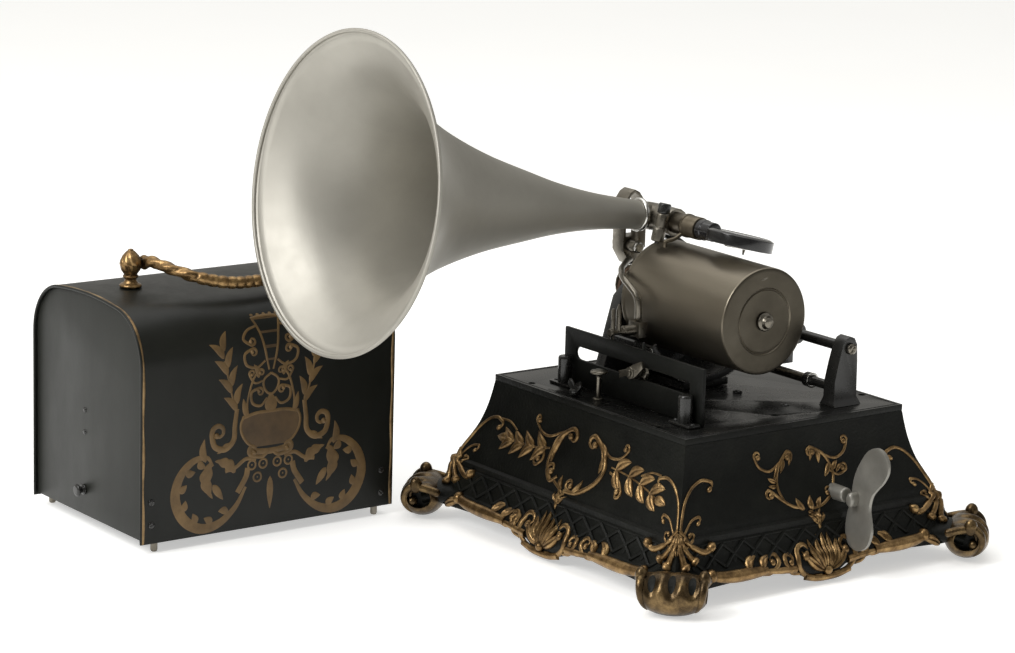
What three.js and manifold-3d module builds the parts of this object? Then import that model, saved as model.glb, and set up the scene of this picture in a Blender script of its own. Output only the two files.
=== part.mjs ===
// Wind-up cylinder phonograph with its dust cover standing beside it. Millimetres, +Z up.
// The machine is drawn about the centre of its own base: +X towards the winding key and the
// mandrel's free end, -Y towards the horn's bell. The cover is drawn about its own centre.
import * as THREE from "three";
import Module from "manifold-3d";
import { mergeVertices } from "three/addons/utils/BufferGeometryUtils.js";

const wasm = await Module();
wasm.setup();

// ---- layout of the set ----
const MACHINE_AT = [84, 125]; // base centre, from the origin
const COVER_AT = [-191.5, -181.5]; // cover centre, from the origin

// ---- base ----
const TOP_X = 128; // half width of the top edge along X
const TOP_Y = 116.5; // half width along Y
const DECK = 127; // top face of the deck plate
const DECK_T = 5;
const WALL = 5;
const FOOT_T = 44; // foot centre, outwards from the top edge on both axes
const FOOT_R = 20;
// the side's section: outwards from the top edge, height
const FLARE = [[0, 121.7], [2, 110], [4.5, 98], [9, 84], [15, 72], [20, 62], [22, 53.5],
  [25.5, 52], [25.5, 47], [29, 36], [33.5, 26], [36.5, 24], [38, 14], [36, 4]];
const APRON = [[-200, 12], [-128, 12], [-112, 15], [-70, 16], [-44, 12], [-30, 5.5], [0, 4.5],
  [30, 5.5], [44, 12], [70, 16], [112, 15], [128, 12], [200, 12]];

// ---- mandrel and the shafts of the works ----
const MANDREL = { y: 9.5, z: 198, r: 45, r2: 46.5, x0: -62, x1: 72 };
const ROD = { y: 74, z: 175, r: 4.5, x0: -84 };
const FEED = { y: 64.5, z: 142, r: 4, x1: 95 };
const IDLER = { y: 37, z: 170 };
const BARREL = { y: 30, z: 68 };
const SECOND = { y: -21.12, z: 85.4 };
const GOV = { y: -47.66, z: 65.78 };
const GEAR_GREAT = { m: 2, n: 44 };
const GEAR_PINION = { m: 2, n: 10 };
const GEAR_SECOND = { m: 1.5, n: 36 };
const GEAR_GOV = { m: 1.5, n: 8 };
const GEAR_MANDREL = { m: 2, n: 16 };
const GEAR_IDLER = { m: 2, n: 23 };
const PULLEY_R = 13; // mandrel pulley
const DRIVE_R = 10; // drive pulley
const PIVOT = { y: 0, z: 233.5 }; // pin that the horn and reproducer rock on

// ---- horn ----
const HORN = { x: -82, y: -1.2, z: 262.6, tilt: 8.3, length: 310 };
const HORN_SECTION = [[0, 12], [50, 15.3], [92, 21.4], [131, 30.3], [172, 40.6], [208, 52.6],
  [238, 65.5], [264, 81], [287, 101], [308, 130]];

// ---- cover ----
const COVER = { hx: 91, hy: 124.5, foot: 8, top: 203, r: 46, t: 1.6 };
const BAIL_Z = 223;

const group = new THREE.Group();
const machine = new THREE.Group();
machine.position.set(MACHINE_AT[0], MACHINE_AT[1], 0);
const cover = new THREE.Group();
cover.position.set(COVER_AT[0], COVER_AT[1], 0);
group.add(machine, cover);

const FINISH = {
  iron: [0x1b1d1a, 0.45, 0.3], black: [0x161715, 0.35, 0.2], gilt: [0x9a6c34, 0.4, 0.8],
  nickel: [0xa9a59b, 0.28, 0.9], steel: [0xb9b9b6, 0.3, 0.9], brass: [0xa98a4b, 0.35, 0.85],
  alu: [0xaaa69c, 0.35, 0.85], ebonite: [0x101012, 0.4, 0], leather: [0x5b3a22, 0.8, 0],
  enamel: [0x23271f, 0.5, 0.1], mica: [0xd8d2c0, 0.2, 0], bronze: [0x6e4a33, 0.45, 0.7],
};

// ---- helpers ----
const AXIS_TURN = {
  x: new THREE.Matrix4().makeBasis(new THREE.Vector3(0, 1, 0), new THREE.Vector3(0, 0, 1),
    new THREE.Vector3(1, 0, 0)),
  y: new THREE.Matrix4().makeBasis(new THREE.Vector3(-1, 0, 0), new THREE.Vector3(0, 0, 1),
    new THREE.Vector3(0, 1, 0)),
  z: new THREE.Matrix4(),
};

function toSolid(geometry) {
  const bare = new THREE.BufferGeometry();
  const flat = geometry.index ? geometry.toNonIndexed() : geometry;
  bare.setAttribute("position", flat.getAttribute("position").clone());
  const welded = mergeVertices(bare, 1e-4);
  const pos = welded.getAttribute("position").array;
  const index = [];
  const src = welded.getIndex().array;
  let volume = 0;
  for (let i = 0; i < src.length; i += 3) {
    const [a, b, c] = [src[i], src[i + 1], src[i + 2]];
    if (a === b || b === c || a === c) continue;
    index.push(a, b, c);
    const [p, q, r] = [a, b, c].map((k) => new THREE.Vector3().fromArray(pos, 3 * k));
    volume += p.dot(q.cross(r));
  }
  if (volume < 0) for (let i = 0; i < index.length; i += 3) {
    [index[i], index[i + 1]] = [index[i + 1], index[i]];
  }
  return new wasm.Manifold(new wasm.Mesh({ numProp: 3, vertProperties: new Float32Array(pos),
    triVerts: new Uint32Array(index) }));
}

function toGeometry(solid) {
  const mesh = solid.getMesh();
  const g = new THREE.BufferGeometry();
  g.setAttribute("position", new THREE.BufferAttribute(new Float32Array(mesh.vertProperties), 3));
  g.setIndex(new THREE.BufferAttribute(new Uint32Array(mesh.triVerts), 1));
  return g;
}

const join = (...gs) => toGeometry(gs.map(toSolid).reduce((a, b) => a.add(b)));
const cut = (g, ...tools) => toGeometry(tools.map(toSolid).reduce((a, b) => a.subtract(b),
  toSolid(g)));
const common = (a, b) => toGeometry(toSolid(a).intersect(toSolid(b)));

function box(x0, x1, y0, y1, z0, z1) {
  return new THREE.BoxGeometry(x1 - x0, y1 - y0, z1 - z0)
    .translate((x0 + x1) / 2, (y0 + y1) / 2, (z0 + z1) / 2);
}

// a straight round bar along one axis; at = the two other coordinates, in X, Y, Z order
function bar(axis, r, from, to, at, seg = 20) {
  const g = new THREE.CylinderGeometry(r, r, to - from, seg).rotateX(Math.PI / 2)
    .translate(0, 0, (from + to) / 2).applyMatrix4(AXIS_TURN[axis]);
  return g.translate(...place(axis, at));
}

function place(axis, at) {
  return axis === "x" ? [0, at[0], at[1]] : axis === "y" ? [at[0], 0, at[1]] : [at[0], at[1], 0];
}

// a turned piece: section = [radius, position along the axis], closed on itself or on the axis
function turned(axis, section, at, seg = 24) {
  const pts = section.map(([r, s]) => new THREE.Vector2(r, s));
  if (section[0][0] > 0) pts.push(pts[0].clone());
  const g = new THREE.LatheGeometry(pts, seg).rotateX(Math.PI / 2).applyMatrix4(AXIS_TURN[axis]);
  return g.translate(...place(axis, at));
}

function outline(points, holes = []) {
  const flat = points.map(([a, b]) => new THREE.Vector2(a, b));
  const shape = new THREE.Shape(THREE.ShapeUtils.isClockWise(flat) ? flat.reverse() : flat);
  for (const h of holes) shape.holes.push(new THREE.Path(h.map(([a, b]) =>
    new THREE.Vector2(a, b))));
  return shape;
}

// a flat outline pushed along an axis: across X it is drawn in (Y, Z), across Y in (X, Z)
function slab(axis, shape, from, to) {
  const g = new THREE.ExtrudeGeometry(shape, { depth: to - from, bevelEnabled: false,
    curveSegments: 8 });
  if (axis === "x") g.applyMatrix4(AXIS_TURN.x).translate(from, 0, 0);
  else if (axis === "y") g.rotateX(Math.PI / 2).translate(0, to, 0);
  else g.translate(0, 0, from);
  return g;
}

function ring(r, n = 24, at = [0, 0], start = 0) {
  return Array.from({ length: n }, (_, i) => {
    const a = start + (i * 2 * Math.PI) / n;
    return [at[0] + r * Math.cos(a), at[1] + r * Math.sin(a)];
  });
}

// a round bar bent along a smooth line of points
function bent(points, r, steps = 18, sides = 8) {
  const path = new THREE.CatmullRomCurve3(points.map((p) => new THREE.Vector3(...p)), false,
    "centripetal");
  return new THREE.ExtrudeGeometry(outline(ring(r, sides)), { steps, extrudePath: path,
    bevelEnabled: false });
}

const meshAngle = (from, to) => Math.atan2(to.z - from.z, to.y - from.y);

// gear outline about its own centre in (Y, Z); phase is the angle of a tooth's middle
function gearShape({ m, n }, phase, bore) {
  const p = (m * n) / 2;
  const step = (2 * Math.PI) / n;
  const pts = [];
  for (let i = 0; i < n; i++) {
    for (const [da, r] of [[-0.27, p - m], [-0.12, p + 0.72 * m], [0.12, p + 0.72 * m],
      [0.27, p - m]]) {
      const a = phase + (i + da) * step;
      pts.push([r * Math.cos(a), r * Math.sin(a)]);
    }
  }
  return outline(pts, bore ? [ring(bore, 16)] : []);
}

function gear(spec, phase, bore, x0, x1, at) {
  return slab("x", gearShape(spec, phase, bore), x0, x1).translate(0, at.y, at.z);
}

// phase of the gear driven at angle theta by one with n teeth and the given phase
function driven(spec, phase, theta, next) {
  const step = (2 * Math.PI) / spec.n;
  const off = phase - theta - step * Math.round((phase - theta) / step);
  return theta + Math.PI - (off * spec.n) / next.n + Math.PI / next.n;
}

function put(name, geometry, finish, parent = machine) {
  const [color, roughness, metalness] = FINISH[finish];
  const mesh = new THREE.Mesh(geometry, new THREE.MeshStandardMaterial({ color, roughness,
    metalness }));
  mesh.name = name;
  parent.add(mesh);
}

const YZ = (p) => [p.y, p.z];

// ================= base =================
function flared(inset, z0, z1) {
  const half = (w) => {
    const side = FLARE.filter(([, z]) => z > z0 + 0.01).map(([t, z]) => [w + t - inset,
      Math.min(z, z1)]);
    const last = side[side.length - 1];
    side[0] = [side[0][0], z1];
    side.push([last[0], z0]);
    return outline([...side, ...side.map(([a, z]) => [-a, z]).reverse()]);
  };
  return common(slab("y", half(TOP_X), -190, 190), slab("x", half(TOP_Y), -190, 190));
}

function footSolid(sx, sy) {
  const section = [[0, -23], [13, -23], [18, -17], [FOOT_R, -8], [FOOT_R, 8], [18, 17],
    [13, 23], [0, 23]];
  const scroll = turned("x", section, [0, FOOT_R - 0.5], 16);
  const leg = box(-20, 20, -24, 6, 14, 34);
  const foot = cut(join(scroll, leg), box(-60, 60, -60, 60, -20, 0));
  const turn = Math.atan2(sy, sx) - Math.PI / 2;
  return new THREE.BufferGeometry().copy(foot).rotateZ(turn)
    .translate(sx * (TOP_X + FOOT_T), sy * (TOP_Y + FOOT_T), 0);
}

const shell = cut(flared(0, 4, 121.7), flared(WALL, -2, 125));
const apronCut = outline([...APRON, [200, -10], [-200, -10]]);
const corners = [[1, -1], [1, 1], [-1, 1], [-1, -1]];
put("base_casting", cut(
  join(cut(shell, slab("y", apronCut, -190, 190), slab("x", apronCut, -190, 190)),
    ...corners.map(([sx, sy]) => footSolid(sx, sy))),
  bar("x", 8, 120, 160, YZ(BARREL)),
  box(-TOP_X - 12, TOP_X + 12, -TOP_Y - 12, TOP_Y + 12, -5, 44)), "iron");

const COVER_PEGS = [[86, 109], [86, -109], [-86, 109], [-86, -109]];
put("deck_plate", cut(box(-TOP_X, TOP_X, -TOP_Y, TOP_Y, DECK - DECK_T, DECK),
  ...COVER_PEGS.map(([x, y]) => bar("z", 3.2, DECK - 9, DECK + 1, [x, y], 12)),
  box(-110, -92, -42, 30, DECK - 9, DECK + 1), box(-99, -91, 52, 77, DECK - 9, DECK + 1),
  bar("z", 2.5, DECK - 9, DECK + 1, [-13, -95], 12),
  bar("z", 2.7, DECK - 9, DECK + 1, [-34, -103], 12),
  bar("z", 3.5, DECK - 9, DECK + 1, [103, -2], 12)), "iron");

// ================= motor, hung under the deck =================
const frameOutline = [[-64, 121.5], [-64, 50], [-50, 34], [-16, 18], [78, 18], [84, 40],
  [84, 121.5]];
const PILLARS = [[-56, 108], [76, 108], [74, 30], [-9, 27]];
function motorPlate(x0, x1, bores) {
  return cut(slab("x", outline(frameOutline), x0, x1),
    ...bores.map(([p, r]) => bar("x", r, x0 - 1, x1 + 1, YZ(p), 16)));
}
const BORES = [[BARREL, 5.3], [SECOND, 3.3], [GOV, 2.3]];
const PAWL = { y: 56, z: 76 };
put("motor_plate_left", join(motorPlate(-62, -59, BORES),
  ...PILLARS.map((at) => bar("x", 4, -60, 56.7, at, 12))), "brass");
put("motor_plate_right", join(motorPlate(57, 60, BORES), bar("x", 2, 58, 70, YZ(PAWL), 12)),
  "brass");

const thetaAB = meshAngle(BARREL, SECOND);
const thetaBC = meshAngle(SECOND, GOV);
const phaseA = thetaAB;
const phaseB = driven(GEAR_GREAT, phaseA, thetaAB, GEAR_PINION);
const phaseC = driven(GEAR_SECOND, 0, thetaBC, GEAR_GOV);
const cup = turned("x", [[5.3, -28], [39, -28], [39, 20], [37.4, 20], [37.4, -26.4],
  [5.3, -26.4]], YZ(BARREL), 28);
put("spring_barrel", join(cup, gear(GEAR_GREAT, phaseA, 37.5, -27.5, -21.5, BARREL)), "brass");
put("barrel_cover", turned("x", [[5.3, 18.2], [37.1, 18.2], [37.1, 19.8], [5.3, 19.8]],
  YZ(BARREL), 28), "brass");

function spiral() {
  const inner = [];
  const outer = [];
  const n = 64;
  for (let i = 0; i <= n; i++) {
    const a = (i / n) * 2 * Math.PI * 4.25;
    const r = 8 + (i / n) * 27;
    inner.push([r * Math.cos(a), r * Math.sin(a)]);
    outer.push([(r + 1.4) * Math.cos(a), (r + 1.4) * Math.sin(a)]);
  }
  return outline([...inner, ...outer.reverse()]);
}
put("mainspring", slab("x", spiral(), -23, 15).translate(0, BARREL.y, BARREL.z), "steel");
put("winding_arbor", turned("x", [[0, -66], [5, -66], [5, -29], [4.9, -29], [4.9, 62],
  [6.5, 62], [6.5, 132], [0, 132]], YZ(BARREL), 16), "steel");

const ratchetTeeth = [];
for (let i = 0; i < 16; i++) {
  const a = (i * Math.PI) / 8;
  ratchetTeeth.push([17 * Math.cos(a), 17 * Math.sin(a)]);
  ratchetTeeth.push([13.5 * Math.cos(a + 0.06), 13.5 * Math.sin(a + 0.06)]);
}
put("ratchet_wheel", slab("x", outline(ratchetTeeth, [ring(6.8, 16)]), 64, 68)
  .translate(0, BARREL.y, BARREL.z), "steel");
put("ratchet_pawl", cut(slab("x", outline([[45.5, 76.4], [48, 73.2], [59, 72.5], [60, 79],
  [53, 80]]), 64, 68), bar("x", 2.3, 60, 70, YZ(PAWL), 12)), "steel");

put("second_arbor", join(turned("x", [[0, -113], [3, -113], [3, 60.5], [0, 60.5]],
  YZ(SECOND), 14), gear(GEAR_PINION, phaseB, 0, -29, -20, SECOND),
  gear(GEAR_SECOND, 0, 0, -46, -42, SECOND)), "steel");
put("governor_spindle", join(turned("x", [[0, -61], [2, -61], [2, -12], [6, -12], [6, -5],
  [2, -5], [2, 60], [0, 60]], YZ(GOV), 12),
  gear(GEAR_GOV, phaseC, 0, -49, -39, GOV)), "steel");
put("governor_disc", turned("x", [[2.2, 38], [17, 38], [17, 41], [5, 41], [5, 48], [2.2, 48]],
  YZ(GOV), 24), "brass");
for (let i = 0; i < 3; i++) {
  const leaf = bent([[-4.6, 0, 4.3], [4, 0, 8], [16, 0, 11.5], [28, 0, 8], [37.6, 0, 4.3]],
    0.9, 8, 6);
  const weight = join(leaf, new THREE.SphereGeometry(5, 12, 7).translate(16, 0, 13));
  put(`governor_weight_${i + 1}`, weight.rotateX((i * 2 * Math.PI) / 3)
    .translate(0, GOV.y, GOV.z), "brass");
}

// pulleys and belt
const grooved = (r, x0, x1, bore) => [[bore, x0], [r + 3, x0], [r + 3, x0 + 1.6], [r, x0 + 3],
  [r, x1 - 3], [r + 3, x1 - 1.6], [r + 3, x1], [bore, x1]];
put("drive_pulley", turned("x", grooved(DRIVE_R, -107, -97, 3.1), YZ(SECOND), 20), "brass");
function beltLoop(r1, r2) {
  const dy = MANDREL.y - SECOND.y;
  const dz = MANDREL.z - SECOND.z;
  const base = Math.atan2(dz, dy);
  const spread = Math.acos((r1 - r2) / Math.hypot(dy, dz));
  const pts = [];
  for (let i = 0; i <= 12; i++) {
    const a = base + spread + (i / 12) * (2 * Math.PI - 2 * spread);
    pts.push([SECOND.y + r1 * Math.cos(a), SECOND.z + r1 * Math.sin(a)]);
  }
  for (let i = 0; i <= 12; i++) {
    const a = base - spread + (i / 12) * 2 * spread;
    pts.push([MANDREL.y + r2 * Math.cos(a), MANDREL.z + r2 * Math.sin(a)]);
  }
  return pts;
}
put("drive_belt", slab("x", outline(beltLoop(DRIVE_R + 2.4, PULLEY_R + 2.4),
  [beltLoop(DRIVE_R + 0.5, PULLEY_R + 0.5)]), -103.6, -100.4), "leather");

// ================= mandrel and feed train =================
put("mandrel_standard", join(cut(join(
  slab("x", outline([[-52, 127.3], [-46, 139], [-37, 172], [-30, 196], [-12, 214],
    [22, 214], [44, 192], [66, 187], [82, 187], [86, 176], [82, 160], [84, 127.3]]), -80, -68),
  bar("x", 15, -92, -66, YZ(MANDREL), 24),
  box(-90, -68, -54, 88, 127.3, 132)),
  bar("x", 6.3, -120, -60, YZ(MANDREL), 16), bar("x", ROD.r + 0.3, -120, -60, YZ(ROD), 20),
  bar("x", FEED.r + 0.3, -120, -60, YZ(FEED), 16)),
  turned("x", [[0, -99], [5, -99], [5, -97.3], [3, -97.3], [3, -75], [0, -75]],
    YZ(IDLER), 14)), "iron");
put("mandrel", turned("x", [[6.4, -60], [12, -60], [12, -58], [MANDREL.r2 - 0.4, -58],
  [MANDREL.r2, -60.5], [MANDREL.r2, MANDREL.x0 + 2.5], [MANDREL.r, 70],
  [MANDREL.r - 1.6, MANDREL.x1], [29, MANDREL.x1], [28, 70.6], [27, 70.6], [26.5, 71.4],
  [6.4, 71.4]], YZ(MANDREL), 48), "nickel");
put("mandrel_shaft", turned("x", [[0, -112], [6, -112], [6, -64.5], [8, -64.5], [8, -62],
  [6, -61.5], [6, 71.8], [8, 71.8], [8, 74.6], [5.2, 76], [5.2, 78.2], [0, 78.6]],
  YZ(MANDREL), 20), "steel");
const phaseI = driven(GEAR_MANDREL, 0, meshAngle(MANDREL, IDLER), GEAR_IDLER);
const phaseF = driven(GEAR_IDLER, phaseI, meshAngle(IDLER, FEED), GEAR_MANDREL);
put("mandrel_pulley", join(turned("x", grooved(PULLEY_R, -107, -97, 6.3), YZ(MANDREL), 20),
  gear(GEAR_MANDREL, 0, 6.3, -97.5, -93, MANDREL)), "brass");
put("idler_gear", gear(GEAR_IDLER, phaseI, 3.3, -97, -93, IDLER), "brass");
put("feed_screw", join(turned("x", [[0, -99], [4, -99], [4, 66], [6.2, 66], [6.2, 73],
  [4, 73], [4, FEED.x1], [0, FEED.x1]], YZ(FEED), 18),
  gear(GEAR_MANDREL, phaseF, 0, -97, -93, FEED)), "steel");
put("guide_rod", turned("x", [[0, ROD.x0], [ROD.r, ROD.x0], [ROD.r, 108.6], [8, 108.6],
  [8, 110.6], [6, 113], [0, 113]], YZ(ROD), 20), "black");

// rear post: a tapered stem on a flared foot, rounded over at the top
const postSide = outline([[56.5, 127.3], [57, 130], [58.3, 134], [58.5, 148], [62, 164],
  [66, 178], [69.5, 183.5], [74, 185.2], [78.5, 183.5], [81.5, 178], [82.5, 164], [83, 134],
  [85, 130], [85.5, 127.3]]);
const postFront = outline([[91.5, 127.3], [93, 130], [94, 134], [94.6, 190], [107, 190],
  [107.5, 134], [109, 130], [110.5, 127.3]]);
put("rear_post", cut(common(slab("x", postSide, 80, 120), slab("y", postFront, 50, 100)),
  bar("x", ROD.r + 0.3, 80, 120, YZ(ROD), 20), bar("x", FEED.r + 0.3, 80, 96, YZ(FEED), 16)),
  "black");

// swarf tray under the mandrel: part of a tube about the mandrel's axis
const TRAY_A = 0.47;
function trayShape(r0, r1) {
  const arc = (r, a0, a1) => Array.from({ length: 19 }, (_, i) => {
    const a = a0 + ((a1 - a0) * i) / 18;
    return [MANDREL.y + r * Math.cos(a), MANDREL.z + r * Math.sin(a)];
  });
  return outline([...arc(r1, -Math.PI + TRAY_A, -0.95), ...arc(r0, -0.95,
    -Math.PI + TRAY_A)]);
}
put("swarf_tray", join(slab("x", trayShape(64, 66), -60, 0), slab("x", trayShape(60, 68), -3, 0),
  box(-60, 0, -14, 34, 130.2, 134)), "black");

// ================= front rail and its fittings =================
const slotHole = [[88, 150], [88, 161]];
for (let i = 0; i <= 6; i++) {
  const a = Math.PI / 2 + (i / 6) * Math.PI;
  slotHole.push([-57.5 + 5.5 * Math.cos(a), 155.5 + 5.5 * Math.sin(a)]);
}
put("front_rail", join(slab("y", outline([[-78, 127.3], [105, 127.3], [105, 175],
  [-78, 175]], [slotHole]), -81.5, -78.5),
  turned("z", [[0, 174], [1.3, 174], [1.3, 181], [0, 182]], [26, -80], 12)), "black");
[["left", -68], ["right", 92]].forEach(([side, x]) => {
  put(`rail_post_${side}`, join(turned("z", [[0, 127.3], [6, 127.3], [6, 151], [5, 152.5],
    [0, 152.5]], [x, -88.2], 20), box(x - 14, x + 14, -95, -82, 127.3, 129.6)), "black");
});
put("start_knob", turned("z", [[0, 112], [2, 112], [2, 147], [3.4, 148.5], [7.2, 149],
  [7.4, 150.5], [4, 152.4], [0, 152.6]], [-13, -95], 20), "nickel");
put("speed_screw", join(turned("z", [[0, 108], [2.2, 108], [2.2, 127.6], [4.6, 127.6],
  [4.6, 132], [0, 132]], [-34, -103], 16),
  slab("y", outline([[-3, 129], [3, 129], [9, 136], [7, 140], [3, 138], [0, 134], [-3, 138],
    [-7, 140], [-9, 136]]), -1.2, 1.2).translate(-34, -103, 0)), "black");
put("rail_stop", join(turned("y", [[0, -91], [3, -91], [3, -89.5], [5, -89.5], [6, -82],
  [3, -82], [3, -78.2], [8, -78.2], [8, -75], [0, -75]], [20, 155.5], 16),
  slab("y", outline([[-4, -3], [-14, -7], [-15, -1], [-4, 3], [4, 8], [13, 12], [16, 7],
    [9, 0], [4, -4]]), -88.6, -85.6).translate(20, 0, 155.5)), "steel");


// ================= carriage on the guide rod =================
put("carriage_sleeve", cut(join(turned("x", [[0, 2], [9, 2], [9, 42], [0, 42]], YZ(ROD), 24),
  box(14, 30, 67, 80, 154, 170), slab("x", outline([[60, 146.8], [80, 146.8], [80, 160],
    [60, 160]]), 14, 30)),
  bar("x", ROD.r + 0.15, -5, 50, YZ(ROD), 24), bar("x", FEED.r + 0.5, 0, 60, YZ(FEED), 16)),
  "iron");
put("carriage_arm", join(
  bent([[8, 74, 188], [6, 70, 200], [-2, 64.5, 215], [-20, 62, 221], [-60, 62, 222],
    [-88, 60, 224], [-101, 48, 236], [-104.5, 32, 249], [-105, 22, 254.6], [-105, 17.3, 256.2]],
  4.6, 26, 8),
  box(2, 13.5, 68, 80, 184.4, 190)), "iron");
// the stirrup: a closed strap over the horn's elbow, drawn to a point below
const strapOuter = [[-7, 229], [-7, 266], [-5.5, 273], [-1, 279], [4, 281.5], [9, 279],
  [13.5, 273], [15, 266], [15, 229], [7, 216.6], [1, 216.6]];
const strapInner = [[-4.6, 241], [-4.6, 265.5], [-3.4, 271], [0, 276.4], [4, 278.8], [8, 276.4],
  [11.4, 271], [12.6, 265.5], [12.6, 241]];
put("stirrup", cut(slab("x", outline(strapOuter, [strapInner]), -112, -97),
  bar("x", 3.2, -120, -90, YZ(PIVOT), 16)), "nickel");
put("rocker_pin", turned("x", [[0, -115.5], [5, -115.5], [5, -112.4], [3, -112.4], [3, -85.6],
  [5, -85.6], [5, -83.6], [4, -82.8], [0, -82.8]], YZ(PIVOT), 16), "steel");
put("tracker_rod", bent([[-94.3, -1.7, 222], [-88, -10, 221.5], [-78, -21, 221], [-62, -36, 222],
  [-48, -45.5, 219], [-38, -47, 214.5], [-28, -47, 208], [-24.3, -46.8, 200],
  [-24.2, -46.7, 186.5]], 2.8, 24, 8), "steel");
put("tracker_block", join(box(-31, -17, -51, -42.5, 173, 186.2),
  turned("y", [[0, -77], [3.4, -77], [3.6, -76], [3.6, -74.6], [2.4, -74.4], [2.4, -64.5],
    [3.6, -64], [3.6, -62.6], [4.6, -62], [4.6, -50.5], [0, -50.5]], [-24, 179], 16),
  turned("z", [[0, 160], [1.7, 160], [1.7, 198], [1, 199.5], [0, 199.5]], [-24, -73.2], 10),
  turned("z", [[0, 179], [2.3, 179], [2.3, 197], [0.8, 202.5], [0, 202.5]], [-24, -67.4], 10)),
  "nickel");

// ================= elbow, reproducer, horn =================
const TUBE = { y: 11, z: 260.4 };
const bendLine = [[HORN.x, -0.6, 262.4], [HORN.x, 5, 261.6], [-80, 9, 261], [-75, 11, 260.6],
  [-60, 11, 260.4], [-48.3, 11, 260.4]];
put("elbow", cut(join(
  bent(bendLine, 12, 10, 14),
  box(-96, -86, 0.3, 8, 233, 258),
  bar("x", 5.2, -96, -86, YZ(PIVOT), 18)),
  bent([[HORN.x, -8, 263.5], ...bendLine.slice(1, 5), [-40, 11, 260.4]], 8.5, 12, 12),
  bar("x", 3.3, -100, -80, YZ(PIVOT), 14)), "nickel");
const REPRODUCER_TILT = THREE.MathUtils.degToRad(-13.7);
const CLAMP = [-47, -7.6, 260];
const clampAxis = (g) => g.rotateX(REPRODUCER_TILT).translate(...CLAMP);
put("clamp_barrel", clampAxis(turned("z", [[2.4, -14], [5.2, -14], [5.5, -13], [5.5, -3],
  [4.6, -2.6], [4.6, -2.1], [5.2, -1.7], [5.2, 10], [2.4, 10]], [0, 0], 18)), "steel");
put("clamp_bolt", clampAxis(turned("z", [[0, -15.5], [2, -15.5], [2, 10.3], [5.4, 10.3],
  [5.4, 18], [4.6, 19], [0, 19]], [0, 0], 16)), "black");
put("reproducer_tube", join(turned("x", [[6, -48], [9, -48], [9, -34.6], [10.2, -34.4],
  [10.2, -31.6], [9.6, -31.4], [9.6, -16], [6, -16]], YZ(TUBE), 24),
  bent([[-33, 5, 254.5], [-34, -3, 250], [-36.5, -8, 248.5], [-37.5, -10, 247],
    [-37.5, -10, 243]], 1.8, 10, 8)), "bronze");
const DISC = [24, 20, 257];
const tiltDisc = (g) => g.rotateX(REPRODUCER_TILT).translate(...DISC);
put("reproducer_body", cut(join(
  tiltDisc(turned("z", [[0, 5.5], [25, 5.5], [28.5, 3.5], [28.5, -5.5], [0, -5.5]],
    [0, 0], 40)),
  bar("x", 8.6, -15.7, 2, YZ(TUBE), 20)),
  tiltDisc(turned("z", [[0, -3], [24, -3], [24, -16], [0, -16]], [0, 0], 32)),
  bar("x", 4, -20, -8, YZ(TUBE), 14)), "ebonite");
put("diaphragm", tiltDisc(turned("z", [[0, -4.2], [23.6, -4.2], [23.6, -3.3], [0, -3.3]],
  [0, 0], 32)), "mica");
put("stylus_bar", tiltDisc(join(box(-1.6, 1.6, -14, 10, -7, -5.8),
  turned("z", [[0, -5.8], [2.6, -5.8], [2.6, -4.5], [0, -4.5]], [0, 0], 12),
  turned("z", [[0, -12], [0.8, -11], [1.4, -6.8], [0, -6.8]], [0, 7], 10))), "steel");

const hornOuter = HORN_SECTION.map(([s, r]) => [r, s]);
const hornInner = HORN_SECTION.map(([s, r]) => [r - 1.5, s]).reverse();
hornInner[hornInner.length - 1] = [10.5, 0];
const rimBead = [[129.6, 309.6], [131.6, 309.6], [132, 308], [131, 306.2]];
const alongHorn = (g) => g.rotateX(THREE.MathUtils.degToRad(90 - HORN.tilt))
  .translate(HORN.x, HORN.y, HORN.z);
put("horn", alongHorn(turned("z", [...hornOuter.slice(0, -1), rimBead[3], rimBead[2],
  rimBead[1], rimBead[0], ...hornInner], [0, 0], 40)), "alu");
put("horn_ring", alongHorn(turned("z", [[12.3, 1], [14.2, 1.4], [14.8, 3], [14.2, 4.6],
  [12.4, 5]], [0, 0], 28)), "nickel");

// ================= winding key =================
put("key_shaft", turned("x", [[0, 132.3], [6.8, 132.3], [6.8, 138], [6.2, 157], [0, 157]],
  YZ(BARREL), 18), "nickel");
const keyLobes = [[160.3, 62], [158, 52], [158, 38], [162, 29], [169, 24.5], [178, 25],
  [186, 31], [188, 42], [184, 54], [182, 66], [186, 76], [195, 86], [199, 96], [197, 105],
  [190, 111], [181, 112], [172, 106], [165, 94], [160.3, 78]];
put("key_wing", join(slab("y", outline(keyLobes), -2, 2).rotateX(THREE.MathUtils.degToRad(-5))
  .translate(0, 30, 4), bar("y", 4.2, 26, 34, [165.5, 68], 14)), "nickel");

// ================= dust cover =================
function coverProfile(inset, floor) {
  const w = COVER.hx - inset;
  const top = COVER.top - inset;
  const r = COVER.r - inset;
  const pts = [[-w, floor]];
  for (let i = 0; i <= 8; i++) {
    const a = Math.PI - (i / 8) * (Math.PI / 2) * 0.93;
    pts.push([-w + r + r * Math.cos(a), top - 3 - r + r * Math.sin(a)]);
  }
  pts.push([0, top]);
  return [...pts, ...pts.slice(0, -1).reverse().map(([x, z]) => [-x, z])];
}
put("cover_wrap", join(
  cut(slab("y", outline(coverProfile(0, COVER.foot)), -COVER.hy, COVER.hy),
    slab("y", outline(coverProfile(COVER.t, COVER.foot - 5)), -COVER.hy - 5, COVER.hy + 5)),
  ...COVER_PEGS.map(([x, y]) => join(turned("z", [[0, 0], [2.4, 0], [3, 1.5], [3, 12],
    [5, 12], [5, 16], [0, 16]], [x, y], 12),
    box(Math.min(x, Math.sign(x) * 90), Math.max(x, Math.sign(x) * 90), y - 4, y + 4, 12, 16)))),
  "enamel", cover);
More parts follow.
